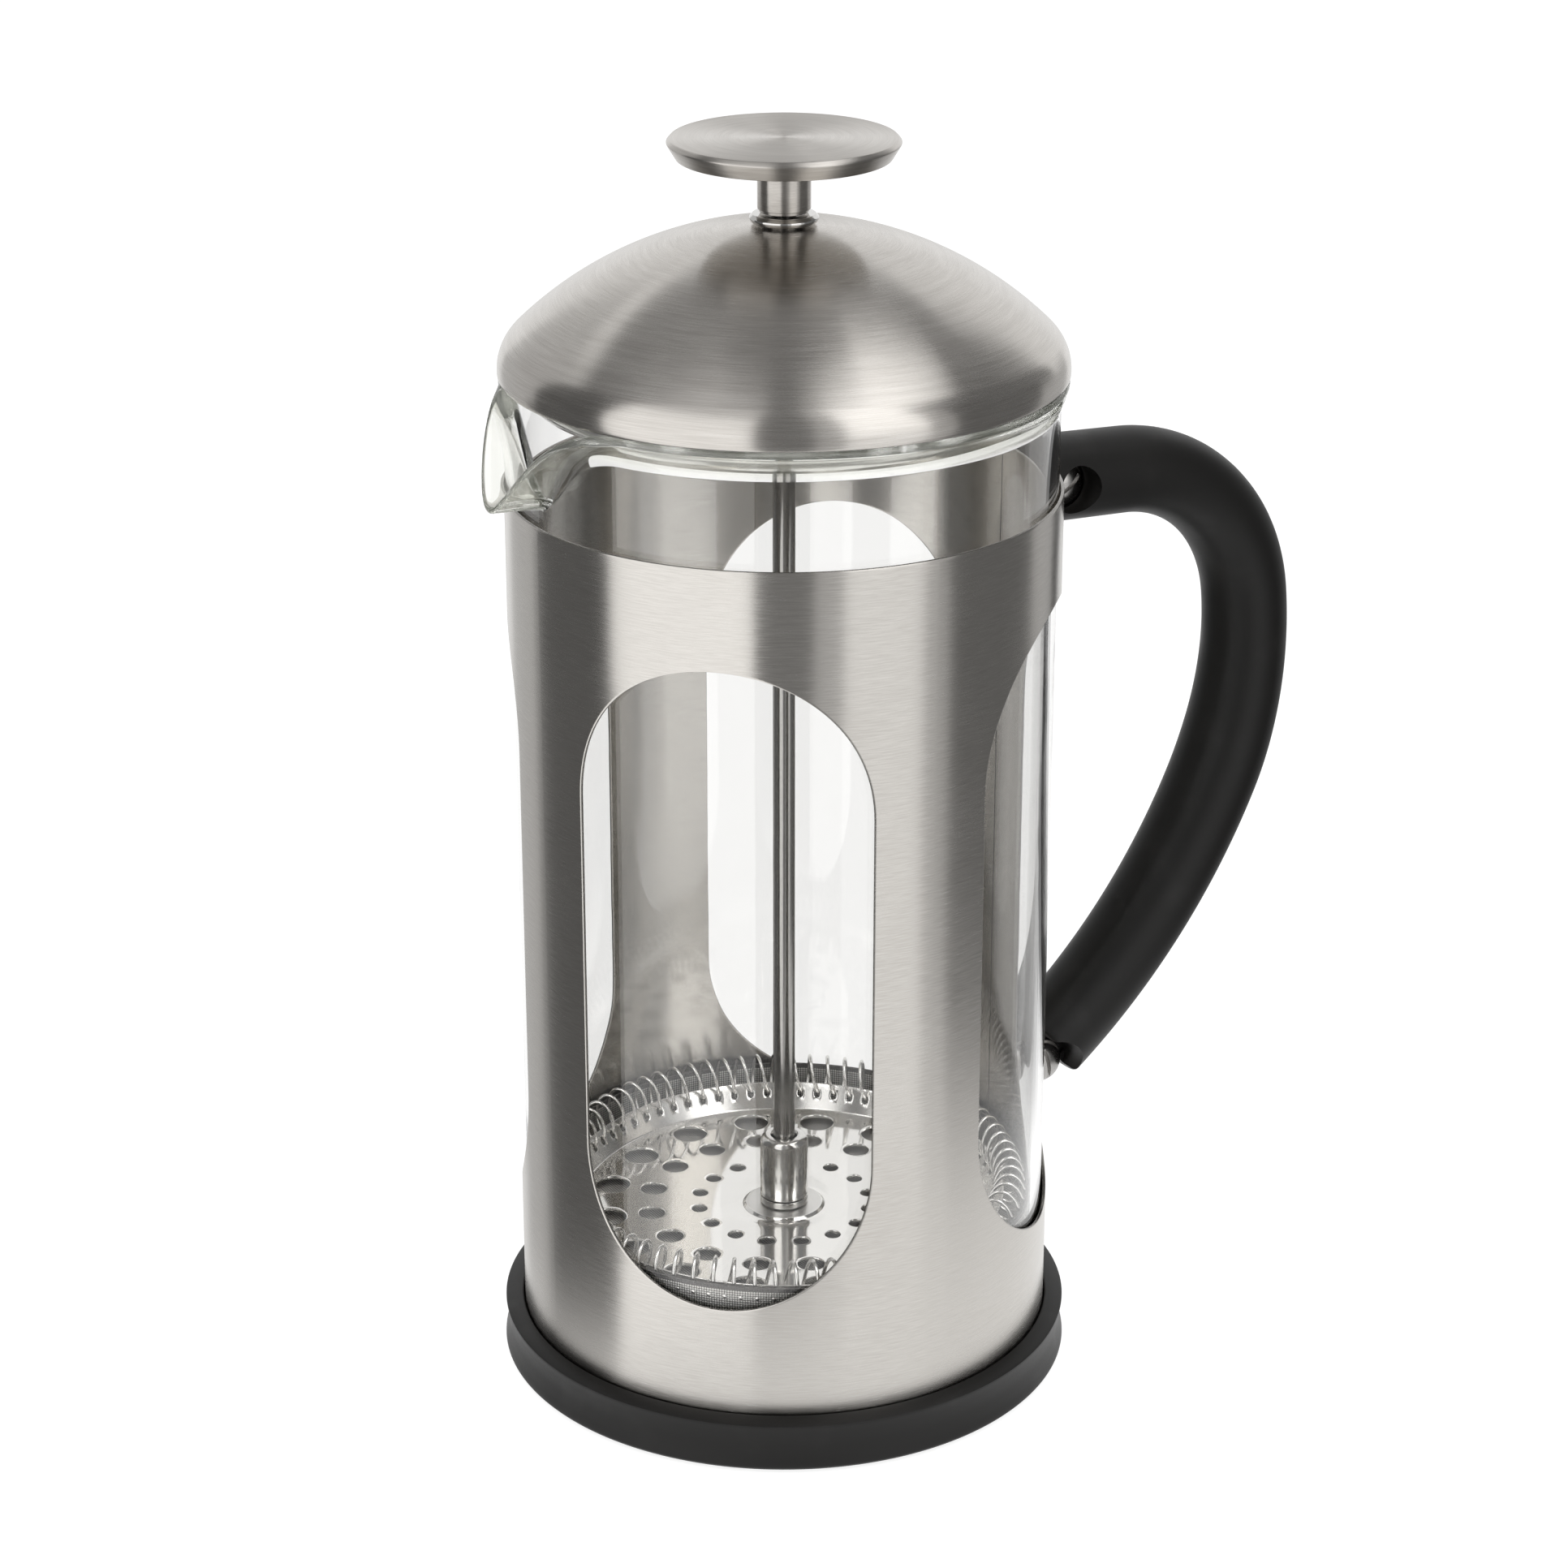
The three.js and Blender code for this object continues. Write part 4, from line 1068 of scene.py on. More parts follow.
@dataclass
class Beaker:
    """The blown glass beaker with a beaded rim and a pulled spout."""

    bottom: float = 4.9
    outer: float = 47.8
    bore: float = 45.9
    floor: float = 7.4
    heel: float = 5.0
    heel_steps: int = 10
    punt: tuple[Triple, ...] = ((0, 0.5, 0.7), (20, 0.4, 0.5), (34, 0.0, 0.1))
    wall_steps: int = 12
    bead: float = 1.0
    bead_start: float = 15.0
    bead_steps: int = 10
    bead_radius: float = 48.2
    bead_height: float = 186.1
    flare_start: float = 181.9
    support: float = 0.3
    outer_swell: float = 0.42
    inner_swell: float = 0.2
    spout_neck: float = 170.3
    spout_half_angle: float = 20.6
    spout_rounding: float = 6.0
    spout_reach: float = 8.7
    spout_reach_power: float = 1.75
    spout_drop: float = 14.6
    spout_drop_power: float = 3.9
    spout_thinning: float = 0.35
    thinning_gain: float = 1.5
    neck_power: float = 2.5
    probe: float = 0.01
    sides: int = 384
    rows: int = 24

    def pull(self, offset: float) -> float:
        """How far the glass is pulled into the spout, at an angle in degrees from its middle."""
        eased = math.hypot(offset, self.spout_rounding) - self.spout_rounding
        return max(0.0, 1 - eased / self.spout_half_angle)

    def middle(self, share: float, offset: float) -> np.ndarray:
        """Finds the wall's middle line between the neck and the lip.

        Args:
            share: How far up the flare, from 0 to 1.
            offset: The angle from the spout's middle, in degrees.

        Returns:
            The radius and the height.
        """
        pull = self.pull(offset)
        centre = (self.outer + self.bore) / 2
        neck = self.flare_start + (self.spout_neck - self.flare_start) * pull**self.neck_power
        reach = self.spout_reach + self.spout_thinning
        lip_radius = self.bead_radius + reach * pull**self.spout_reach_power
        lip_height = self.bead_height - self.spout_drop * pull**self.spout_drop_power
        turn = share * math.pi / 2
        swing = (1 - math.cos(turn)) * pull + share**2 * (1 - pull)
        climb = math.sin(turn) * pull + share * (1 - pull)
        return np.array((centre + (lip_radius - centre) * swing, neck + (lip_height - neck) * climb))

    def section(self, offset: float) -> list[Pair]:
        """Draws the wall above the neck.

        Args:
            offset: The angle from the spout's middle, in degrees.

        Returns:
            The outside from the neck to the rim, and the inside down again.
        """
        pull = self.pull(offset)
        below = self.middle(0, offset)[1] - self.support
        outside: list[Pair] = [(self.outer, below)]
        inside: list[Pair] = [(self.bore, below)]
        bead = self.bead - self.spout_thinning * min(1.0, self.thinning_gain * pull)
        for share in np.arange(self.rows) / (self.rows - 1):
            here = self.middle(share, offset)
            ahead = self.middle(min(1.0, share + self.probe), offset)
            ahead -= self.middle(max(0.0, share - self.probe), offset)
            ahead /= np.linalg.norm(ahead)
            across = np.array((ahead[1], -ahead[0]))
            half = (self.outer - self.bore) / 2 * (1 - share**2) + bead * share**2
            swell = math.sin(math.pi * share) * (1 - pull)
            outside.append(tuple(here + across * (half + self.outer_swell * swell)))
            inside.append(tuple(here - across * (half + self.inner_swell * swell)))
        turns = np.radians(np.linspace(self.bead_start, 180 - self.bead_start, self.bead_steps + 1))
        tip = [tuple(here + bead * (across * math.cos(a) + ahead * math.sin(a))) for a in turns]
        return [*outside, *tip, *reversed(inside)]

    def build(self) -> None:
        """Makes the beaker as one closed wall."""
        inner_heel = self.heel - (self.outer - self.bore)
        low, high = self.bottom + self.heel, self.floor + inner_heel
        under = [(radius, self.bottom + rise) for radius, rise, _ in self.punt]
        under += arc((self.outer - self.heel, low), self.heel, -90, 0, self.heel_steps)
        inside = arc((self.bore - inner_heel, high), inner_heel, 0, -90, self.heel_steps)
        inside += [(radius, self.floor + rise) for radius, _, rise in reversed(self.punt)]
        neck = self.spout_neck - 1
        up = [(self.outer, z) for z in np.linspace(low, neck, self.wall_steps)[1:]]
        down = [(self.bore, z) for z in np.linspace(neck, high, self.wall_steps)[:-1]]
        columns = []
        for k in range(self.sides):
            angle = FULL_TURN * k / self.sides
            offset = 180 - abs(math.degrees(math.remainder(angle, FULL_TURN)))
            radius, height = np.array([*under, *up, *self.section(offset), *down, *inside]).T
            columns.append(polar(radius, angle, height))
        beaker = Draft().sheet(np.stack(columns, 1), close_columns=True).shape("beaker_wall")
        fit(soften(beaker, angle=60), Body.POT, Slot.GLASS, GLASS, "glass_beaker")


@dataclass
class Sleeve:
    """The steel band round the beaker, with four tall windows and a slit between its ears."""

    inner: float = 48.1
    outer: float = 48.7
    bottom: float = 4.9
    top: float = 166.8
    window_half: float = 27.0
    window_low: float = 29.8
    window_high: float = 149.0
    slit_half: float = 0.17
    edge: float = 0.16
    arc_steps: int = 16
    straight_steps: int = 30
    bands: int = 10
    support: float = 0.2
    last_share: float = 0.985
    ear_inner: float = 1.5
    ear_sheet: float = 0.6
    ear_edge: float = 0.12
    ear_radius: float = 4.3
    ear_steps: int = 28
    ear_sunk: float = 0.3
    ear_flare: tuple[Pair, ...] = ((0.0, 1.2), (0.5, 0.35), (1.4, 0.0))
    ear_hole: float = 2.3
    screws: tuple[Pair, Pair] = ((57.9, 157.81), (56.7, 42.1))

    def window_loop(self) -> tuple[np.ndarray, np.ndarray, list[tuple[int, float]]]:
        """Lays out one window.

        Returns:
            The window's edge points, their outward directions, and each one's partner on the
            panel's border as (side, place): side 1 and -1 are right and left with a height, 2 and
            -2 top and bottom with a share of the half width.
        """
        half = self.window_half
        low, high = self.window_low + half, self.window_high - half
        points, outward, partners = [], [], []
        for quarter in range(4):
            way = 1 if quarter in (0, 3) else -1
            centre = high if quarter < 2 else low
            limit = self.top - self.edge if quarter < 2 else self.bottom + self.edge
            for share in np.arange(2 * self.arc_steps) / self.arc_steps:
                angle = (quarter + share / 2) * math.pi / 2
                spoke = (math.cos(angle), math.sin(angle))
                points.append((half * spoke[0], centre + half * spoke[1]))
                outward.append(spoke)
                climb = share if quarter % 2 == 0 else 2 - share
                if climb < 1:
                    partners.append((way, centre + (limit - centre) * climb))
                else:
                    partners.append((2 if quarter < 2 else -2, way * (2 - climb)))
            if quarter % 2 == 1:
                end = low if quarter == 1 else high
                for height in np.linspace(centre, end, self.straight_steps, endpoint=False):
                    points.append((way * half, height))
                    outward.append((way, 0))
                    partners.append((way, height))
        return np.array(points), np.array(outward), partners

    def panel(self, middle: float, left: float, right: float) -> Draft:
        """Makes a quarter of the sleeve.

        Rows of points close to the window's edge and to the border keep the shading round.

        Args:
            middle: The angle of the window's middle, in radians.
            left: How far the panel reaches to its left from the middle, along the outer face.
            right: How far it reaches to its right.

        Returns:
            The draft, open towards its neighbours.
        """
        points, outward, partners = self.window_loop()
        ends = {1: right, -1: -left, 2: self.top - self.edge, -2: self.bottom + self.edge}
        border = np.array(
            [
                (ends[side], place)
                if abs(side) == 1
                else (place * (right if place > 0 else left), ends[side])
                for side, place in partners
            ]
        )
        ring = points + outward * self.edge
        shares = [*(np.arange(1, self.bands) / self.bands), self.last_share, 1]
        flat = [ring, ring + outward * self.support]
        flat += [ring + (border - ring) * share for share in shares]
        cuts = through_sheet(self.outer - self.inner, self.edge)[1:-1]
        rows = [(line, self.outer) for line in reversed(flat)]
        rows += [(points + outward * inset, self.outer - depth) for inset, depth in cuts]
        rows += [(line, self.inner) for line in flat]
        grid = [polar(radius, middle + line[:, 0] / self.outer, line[:, 1]) for line, radius in rows]
        return Draft().sheet(np.array(grid), close_columns=True)

    def rims(self, angles: np.ndarray) -> list[np.ndarray]:
        """Draws the rounded top and bottom edges.

        Args:
            angles: The row of angles that the edges run through, in radians.

        Returns:
            A grid of points for each edge.
        """
        cuts = through_sheet(self.outer - self.inner, self.edge)
        ends = ((self.top, -1), (self.bottom, 1))
        return [swept([(self.outer - d, level + way * i) for i, d in cuts], angles) for level, way in ends]

    def build(self) -> None:
        """Makes the band and its four ears."""
        reach = self.outer * math.pi / 4
        draft = Draft()
        partners = self.window_loop()[2]
        across = np.unique(np.round([-1, 1, *(place for side, place in partners if side == 2)], SAME_DIGITS))
        for k in range(4):
            middle = math.pi / 4 + k * math.pi / 2
            left = reach - (self.slit_half if k == 0 else 0)
            right = reach - (self.slit_half if k == 3 else 0)
            draft.join(self.panel(middle, left, right))
            for sheet in self.rims(middle + np.where(across > 0, across * right, across * left) / self.outer):
                draft.sheet(sheet)
        ends = (self.bottom + self.edge, self.top - self.edge)
        heights = np.unique(np.round([*ends, *(place for side, place in partners if side == 1)], SAME_DIGITS))
        for angle in (self.slit_half / self.outer, -self.slit_half / self.outer):
            draft.sheet(polar([[self.outer], [self.inner]], angle, heights))
            for sheet in self.rims(np.array([angle])):
                draft.face(sheet[:, 0])
        band = soften(draft.shape("sleeve_band"))
        fit(band, Body.POT, Slot.BRUSHED, SLEEVE_STEEL, "frame_sleeve")
        for level, place in zip(("upper", "lower"), self.screws):
            for side, word in ((1, "far"), (-1, "near")):
                ear = self.ear(f"sleeve_ear_{level}_{word}", place, side)
                fit(ear, Body.POT, Slot.BRUSHED, EAR_STEEL, "frame_sleeve")

    def ear(self, name: str, place: Pair, side: int) -> bpy.types.Object:
        """Makes one ear, a flat tab that runs out of the band beside the slit.

        Args:
            name: The piece's name.
            place: The place of its screw in XZ.
            side: 1 for the ear towards +Y, -1 for the other.

        Returns:
            The ear.
        """
        root, radius = self.inner + self.ear_sunk, self.ear_radius
        outline = [
            *((root + along, place[1] - radius - out) for along, out in self.ear_flare),
            *arc(place, radius, -90, 90, self.ear_steps),
            *((root + along, place[1] + radius + out) for along, out in reversed(self.ear_flare)),
        ]
        shift = self.ear_inner + self.ear_sheet if side > 0 else -self.ear_inner
        tab = upright(outline, self.ear_sheet, self.ear_edge, shift).shape(name)
        return soften(carve(tab, [bar_along_y("ear_hole", place, self.ear_hole, shift - 2, shift + 2)]))


@dataclass
class Handle:
    """The moulded grip: a bent round bar whose ends take the sleeve's ears and screws."""

    start: Pair = (49.2, 159.1)
    dip: float = 3.64
    straight: float = 23.1
    bends: tuple[Pair, ...] = ((32.4, 79.5), (69.6, 31.75), (123.7, 28.1))
    girth_at: tuple[float, ...] = (0, 23, 45, 66, 77, 100, 125, 170)
    girth: tuple[float, ...] = (8.1, 8.0, 7.9, 8.05, 8.13, 8.6, 8.5, 8.25)
    girth_easing: int = 6
    end_round: tuple[Pair, ...] = ((0.4, 0.08), (0.12, 0.35), (0.0, 0.8))
    rings: int = 220
    sides: int = 72
    end_lean: float = 26.5
    end_break: float = 6.2
    tongue: float = 2.4
    tongue_tip: float = 3.8
    tongue_root: float = 8.0
    tongue_edge: float = 0.2
    cheek: float = 2.4
    ear_radius: float = 4.3
    gap: float = 0.3
    sink: float = 4.6
    notch: float = 6.0
    hole: float = 2.3
    clear: float = 17.0
    upper_screw: Pair = (57.9, 157.81)
    lower_beyond: float = 3.2
    lower_drop: float = 1.0

    def length(self) -> float:
        """The centre line's length."""
        return self.straight + sum(radius * math.radians(angle) for radius, angle in self.bends)

    def at(self, along: float) -> tuple[np.ndarray, float]:
        """Finds a place on the centre line.

        Args:
            along: The distance from the upper end.

        Returns:
            The place in XZ and the heading, in radians.
        """
        heading = -math.radians(self.dip)
        run = min(along, self.straight)
        place = np.array(self.start) + run * np.array((math.cos(heading), math.sin(heading)))
        left = along - run
        for radius, angle in self.bends:
            turn = min(left / radius, math.radians(angle))
            after = heading - turn
            swing = (math.sin(heading) - math.sin(after), math.cos(after) - math.cos(heading))
            place += radius * np.array(swing)
            heading = after
            left = max(0.0, left - radius * turn)
        return place, heading

    def lower_screw(self) -> Pair:
        """Finds the lower screw, just beyond the grip's end.

        Returns:
            Its place in XZ.
        """
        place, heading = self.at(self.length())
        ahead = np.array((math.cos(heading), math.sin(heading)))
        side = np.array((-ahead[1], ahead[0]))
        return tuple(place + ahead * self.lower_beyond + side * self.lower_drop)

    def bar(self) -> bpy.types.Object:
        """Sweeps the round bar, with its girth eased from ring to ring and rounded at its end.

        Returns:
            The bar.
        """
        total = self.length()
        stations = np.linspace(0, total - self.end_round[-1][1], self.rings)
        window = 2 * self.girth_easing + 1
        girths = np.pad(np.interp(stations, self.girth_at, self.girth), self.girth_easing, mode="edge")
        girths = np.convolve(girths, np.ones(window) / window, mode="valid")
        back, less = np.array(self.end_round).T
        stations = [*stations, *(total - back)]
        girths = [*girths, *(girths[-1] - less)]
        angles = np.arange(self.sides) * FULL_TURN / self.sides
        grid = []
        for station, girth in zip(stations, girths):
            place, heading = self.at(station)
            across, up = girth * np.cos(angles), girth * np.sin(angles)
            lean, rise = place[0] - up * math.sin(heading), place[1] + up * math.cos(heading)
            grid.append(np.column_stack([lean, across, rise]))
        draft = Draft().sheet(np.array(grid), close_columns=True)
        return draft.face(grid[0]).face(grid[-1]).shape("handle_grip")

    def cutters(self) -> list[bpy.types.Object]:
        """Makes what is cut out of the bar: the leaning end, the ears' slots and the screws' room.

        Returns:
            The cutters.
        """
        lower = self.lower_screw()
        clear, far = self.clear, 2 * self.clear
        wedge = block("cut_end", (-far, -far, -far), (0, far, far))
        turn = Matrix.Translation((self.start[0] * MM, 0, (self.start[1] + self.end_break) * MM))
        wedge.data.transform(turn @ Matrix.Rotation(-math.radians(self.end_lean), 4, "Y"))
        cut = [wedge]
        x, z = self.upper_screw
        room = self.ear_radius + self.gap
        for side in (-1, 1):
            low, high = sorted((side * self.tongue / 2, side * self.cheek))
            cut.append(block("cut_slot", (self.start[0] - clear, low, z - room), (x + room, high, z + room)))
            cut.append(bar_along_y("cut_sink", (x, z), self.sink, side * self.cheek, side * clear))
            cut.append(bar_along_y("cut_notch", lower, self.notch, side * self.tongue / 2, side * clear))
        cut.append(bar_along_y("cut_hole", (x, z), self.hole, -clear, clear))
        return cut

    def lower_tongue(self) -> bpy.types.Object:
        """Makes the flat tongue between the lower ears.

        Returns:
            The tongue.
        """
        place = self.at(self.length() - self.tongue_root)[0]
        tip = self.lower_screw()
        angle = math.degrees(math.atan2(tip[1] - place[1], tip[0] - place[0]))
        outline = arc(tip, self.tongue_tip, angle - 90, angle + 90, 24)
        outline += arc(tuple(place), self.tongue_tip, angle + 90, angle + 270, 24)
        tongue = upright(outline, self.tongue, self.tongue_edge, self.tongue / 2).shape("handle_tongue")
        return soften(carve(tongue, [bar_along_y("cut_hole", tip, self.hole, -4, 4)]))

    def build(self) -> None:
        """Makes the grip and its lower tongue."""
        grip = soften(carve(self.bar(), self.cutters()), angle=24)
        fit(grip, Body.POT, Slot.PLASTIC, PLASTIC, "handle")
        fit(self.lower_tongue(), Body.POT, Slot.PLASTIC, PLASTIC, "handle")


@dataclass
class ClampScrew:
    """A slotted dome-head screw and its nut, through a pair of ears."""

    name: str
    place: Pair
    slot_turn: float
    seat: float = 2.4
    shank: float = 2.0
    head: float = 3.7
    head_edge: float = 0.7
    head_break: float = 0.15
    dome: float = 1.5
    slot_width: float = 0.8
    slot_depth: float = 1.0
    stack: float = 5.1
    nut_flats: float = 7.0
    nut_height: float = 2.4
    nut_play: float = 0.3
    tail: float = 1.0
    tip: float = 0.5
    thread: float = 0.16
    thread_start: float = 3.2
    thread_pitch: float = 0.7

    def build(self) -> None:
        """Makes the screw and the nut."""
        length = self.stack + self.nut_height + self.tail
        top = -self.head_edge - self.dome
        curve = (self.head**2 + self.dome**2) / (2 * self.dome)
        spread = math.degrees(math.asin((self.head - self.head_break) / curve))
        ridges = []
        for z in np.arange(self.thread_start, length - self.tip, self.thread_pitch):
            ridges += [(self.shank, z), (self.shank - self.thread, z + self.thread_pitch / 2)]
        profile = [
            *arc((0, top + curve), curve, -90, -90 + spread, 12),
            (self.head, -self.head_edge + 0.05),
            (self.head, -self.head_break),
            (self.head - 0.12, 0),
            (self.shank, 0),
            *ridges,
            (self.shank, length - self.tip),
            (self.shank - self.tip, length),
            (0, length),
        ]
        screw = turned(profile, sides=96).shape(f"{self.name}_screw")
        half, reach = self.slot_width / 2, 2 * self.head
        carve(screw, [block("cut_slot", (-reach, -half, top - 2), (reach, half, top + self.slot_depth))])
        screw.data.transform(self.stand(-self.seat, self.slot_turn))
        fit(soften(screw), Body.POT, Slot.POLISHED, SCREW_STEEL, f"{self.name}_clamp_screw")
        nut = hex_nut(f"{self.name}_nut", self.nut_flats, self.shank + self.nut_play, self.nut_height)
        nut.data.transform(self.stand(self.seat, 0))
        fit(nut, Body.POT, Slot.POLISHED, BRIGHT_STEEL, f"{self.name}_clamp_nut")

    def stand(self, y: float, turn: float) -> Matrix:
        """Where the screw or the nut stands, in metres."""
        place = Matrix.Translation((self.place[0] * MM, y * MM, self.place[1] * MM))
        return place @ Matrix.Rotation(-math.pi / 2, 4, "X") @ Matrix.Rotation(math.radians(turn), 4, "Z")


def hex_nut(name: str, flats: float, bore: float, height: float, base: float = 0.0) -> bpy.types.Object:
    """Makes a hexagonal nut with chamfered corners.

    Args:
        name: The piece's name.
        flats: The width across its flats.
        bore: The radius of its bore.
        height: Its height.
        base: The height of its lower face.

    Returns:
        The nut, standing round the Z axis.
    """
    chamfer, slope, least, sides = 0.25, 0.5, 0.02, 96
    angles = np.arange(sides) * FULL_TURN / sides
    hexagon = flats / 2 / np.cos((angles % (math.pi / 3)) - math.pi / 6)
    face = flats / 2 * 1.03 - 0.35
    rise = np.clip((hexagon - face) * slope, least, None)
    lower = [(bore, chamfer), (bore + chamfer, 0), (face, 0), (hexagon, rise)]
    section = [*lower, *((radius, height - z) for radius, z in reversed(lower))]
    grid = np.array([polar(radius, angles, base + z) for radius, z in section])
    return soften(Draft().sheet(grid, close_rows=True, close_columns=True).shape(name), angle=18)


# ---------------------------------------------------------------- lid


@dataclass
class Lid:
    """The domed lid with its pan, and the guide of the rod; outlines are (radius, height, fillet)."""

    widest: float = 49.35
    shoulder: float = 8.0
    shoulder_height: float = 188.2
    apex: float = 213.04
    sheet: float = 0.8
    hole: float = 3.7
    hem: float = 187.25
    hem_start: float = 0.35
    hem_roll: tuple[Pair, ...] = ((0.05, 0.25), (0.2, 0.05), (0.4, 0.0), (0.62, 0.05), (0.78, 0.25))
    pan: tuple[Triple, ...] = (
        (2.6, 182.8, 0.15),
        (45.0, 182.8, 3.0),
        (45.0, 187.4, 0.5),
        (48.25, 187.4, 0.1),
        (48.25, 188.0, 0.1),
        (44.4, 188.0, 1.1),
        (44.4, 183.4, 2.4),
        (2.6, 183.4, 0.15),
    )
    guide: tuple[Triple, ...] = (
        (2.3, 207.34, 0.1),
        (3.4, 207.34, 0.2),
        (3.4, 213.34, 0),
        (5.7, 213.3, 0.2),
        (5.95, 213.85, 0.3),
        (5.95, 214.15, 0.3),
        (5.4, 214.74, 0.3),
        (3.5, 214.74, 0.2),
        (3.3, 214.45, 0.15),
        (2.45, 214.45, 0.12),
        (2.3, 214.3, 0.05),
    )
    ring: tuple[Triple, ...] = ((3.7, 209.24, 0.2), (6, 209.24, 0.3), (6, 211.64, 0.3), (3.7, 211.64, 0.2))

    def line(self, inset: float) -> list[Pair]:
        """Draws the dome's line from its hole to its shoulder.

        Args:
            inset: How far the line is set in from the outside.

        Returns:
            The line's points.
        """
        across = self.widest - self.shoulder
        rise = self.apex - self.shoulder_height
        cap = (rise**2 + across**2 - self.shoulder**2) / (2 * (rise - self.shoulder))
        meeting = math.degrees(math.asin(across / (cap - self.shoulder)))
        first = math.degrees(math.acos(self.hole / (cap - inset)))
        upper = arc((0, self.apex - cap), cap - inset, first, 90 - meeting, 40)
        lower = arc((across, self.shoulder_height), self.shoulder - inset, 90 - meeting, 0, 20)
        return [*upper, *lower[1:]]

    def dome(self) -> bpy.types.Object:
        """Makes the dome with its hemmed lower edge.

        Returns:
            The dome.
        """
        hem = [(self.widest, self.shoulder_height - self.hem_start)]
        hem += [(self.widest - inset, self.hem + rise) for inset, rise in self.hem_roll]
        profile = [*self.line(0), *hem, *reversed(self.line(self.sheet))]
        return soften(turned(profile, sides=256).shape("dome"), angle=40)

    def build(self) -> None:
        """Makes the lid's pieces."""
        fit(self.dome(), Body.LID, Slot.BRUSHED, LID_STEEL, "lid_dome")
        fit(spun("lid_pan", self.pan, sides=192, steps=8), Body.LID, Slot.BRUSHED, PAN_STEEL, "lid_skirt")
        fit(spun("rod_guide", self.guide, sides=96), Body.LID, Slot.POLISHED, BRIGHT_STEEL, "lid_ferrule")
        ring = spun("rod_guide_nut", self.ring, sides=96, steps=3)
        fit(ring, Body.LID, Slot.POLISHED, BRIGHT_STEEL, "lid_ferrule_nut")


# ---------------------------------------------------------------- plunger


@dataclass
class Plunger:
    """The rod with the neck and the knob on its top, drawn in (radius, height, fillet)."""

    rod: tuple[Triple, ...] = ((0, 30.5, 0), (2.0, 30.5, 0), (2.0, 226.24, 0), (0, 226.24, 0))
    collar: tuple[Triple, ...] = (
        (2.3, 215.04, 0),
        (4.25, 215.04, 0.1),
        (4.25, 215.54, 0.05),
        (4.6, 215.59, 0.12),
        (4.6, 224.04, 0.12),
        (2.3, 224.04, 0),
    )
    knob: tuple[Triple, ...] = (
        (0, 226.54, 0),
        (2.3, 226.54, 0),
        (2.3, 224.34, 0),
        (18.4, 224.34, 0.25),
        (20.0, 226.99, 0.3),
        (19.3, 227.74, 0.35),
        (12, 227.74, 0),
        (0, 227.74, 0),
    )

    def build(self) -> None:
        """Makes the three pieces."""
        fit(spun("rod_bar", self.rod, sides=64), Body.PLUNGER, Slot.POLISHED, ROD_STEEL, "plunger_rod")
        collar = spun("knob_collar", self.collar, sides=96, steps=3)
        fit(collar, Body.PLUNGER, Slot.BRUSHED, KNOB_STEEL, "knob_neck")
        plate = spun("knob_plate", self.knob, sides=256, closed=False)
        fit(plate, Body.PLUNGER, Slot.BRUSHED, KNOB_STEEL, "knob_disc")


# ---------------------------------------------------------------- filter


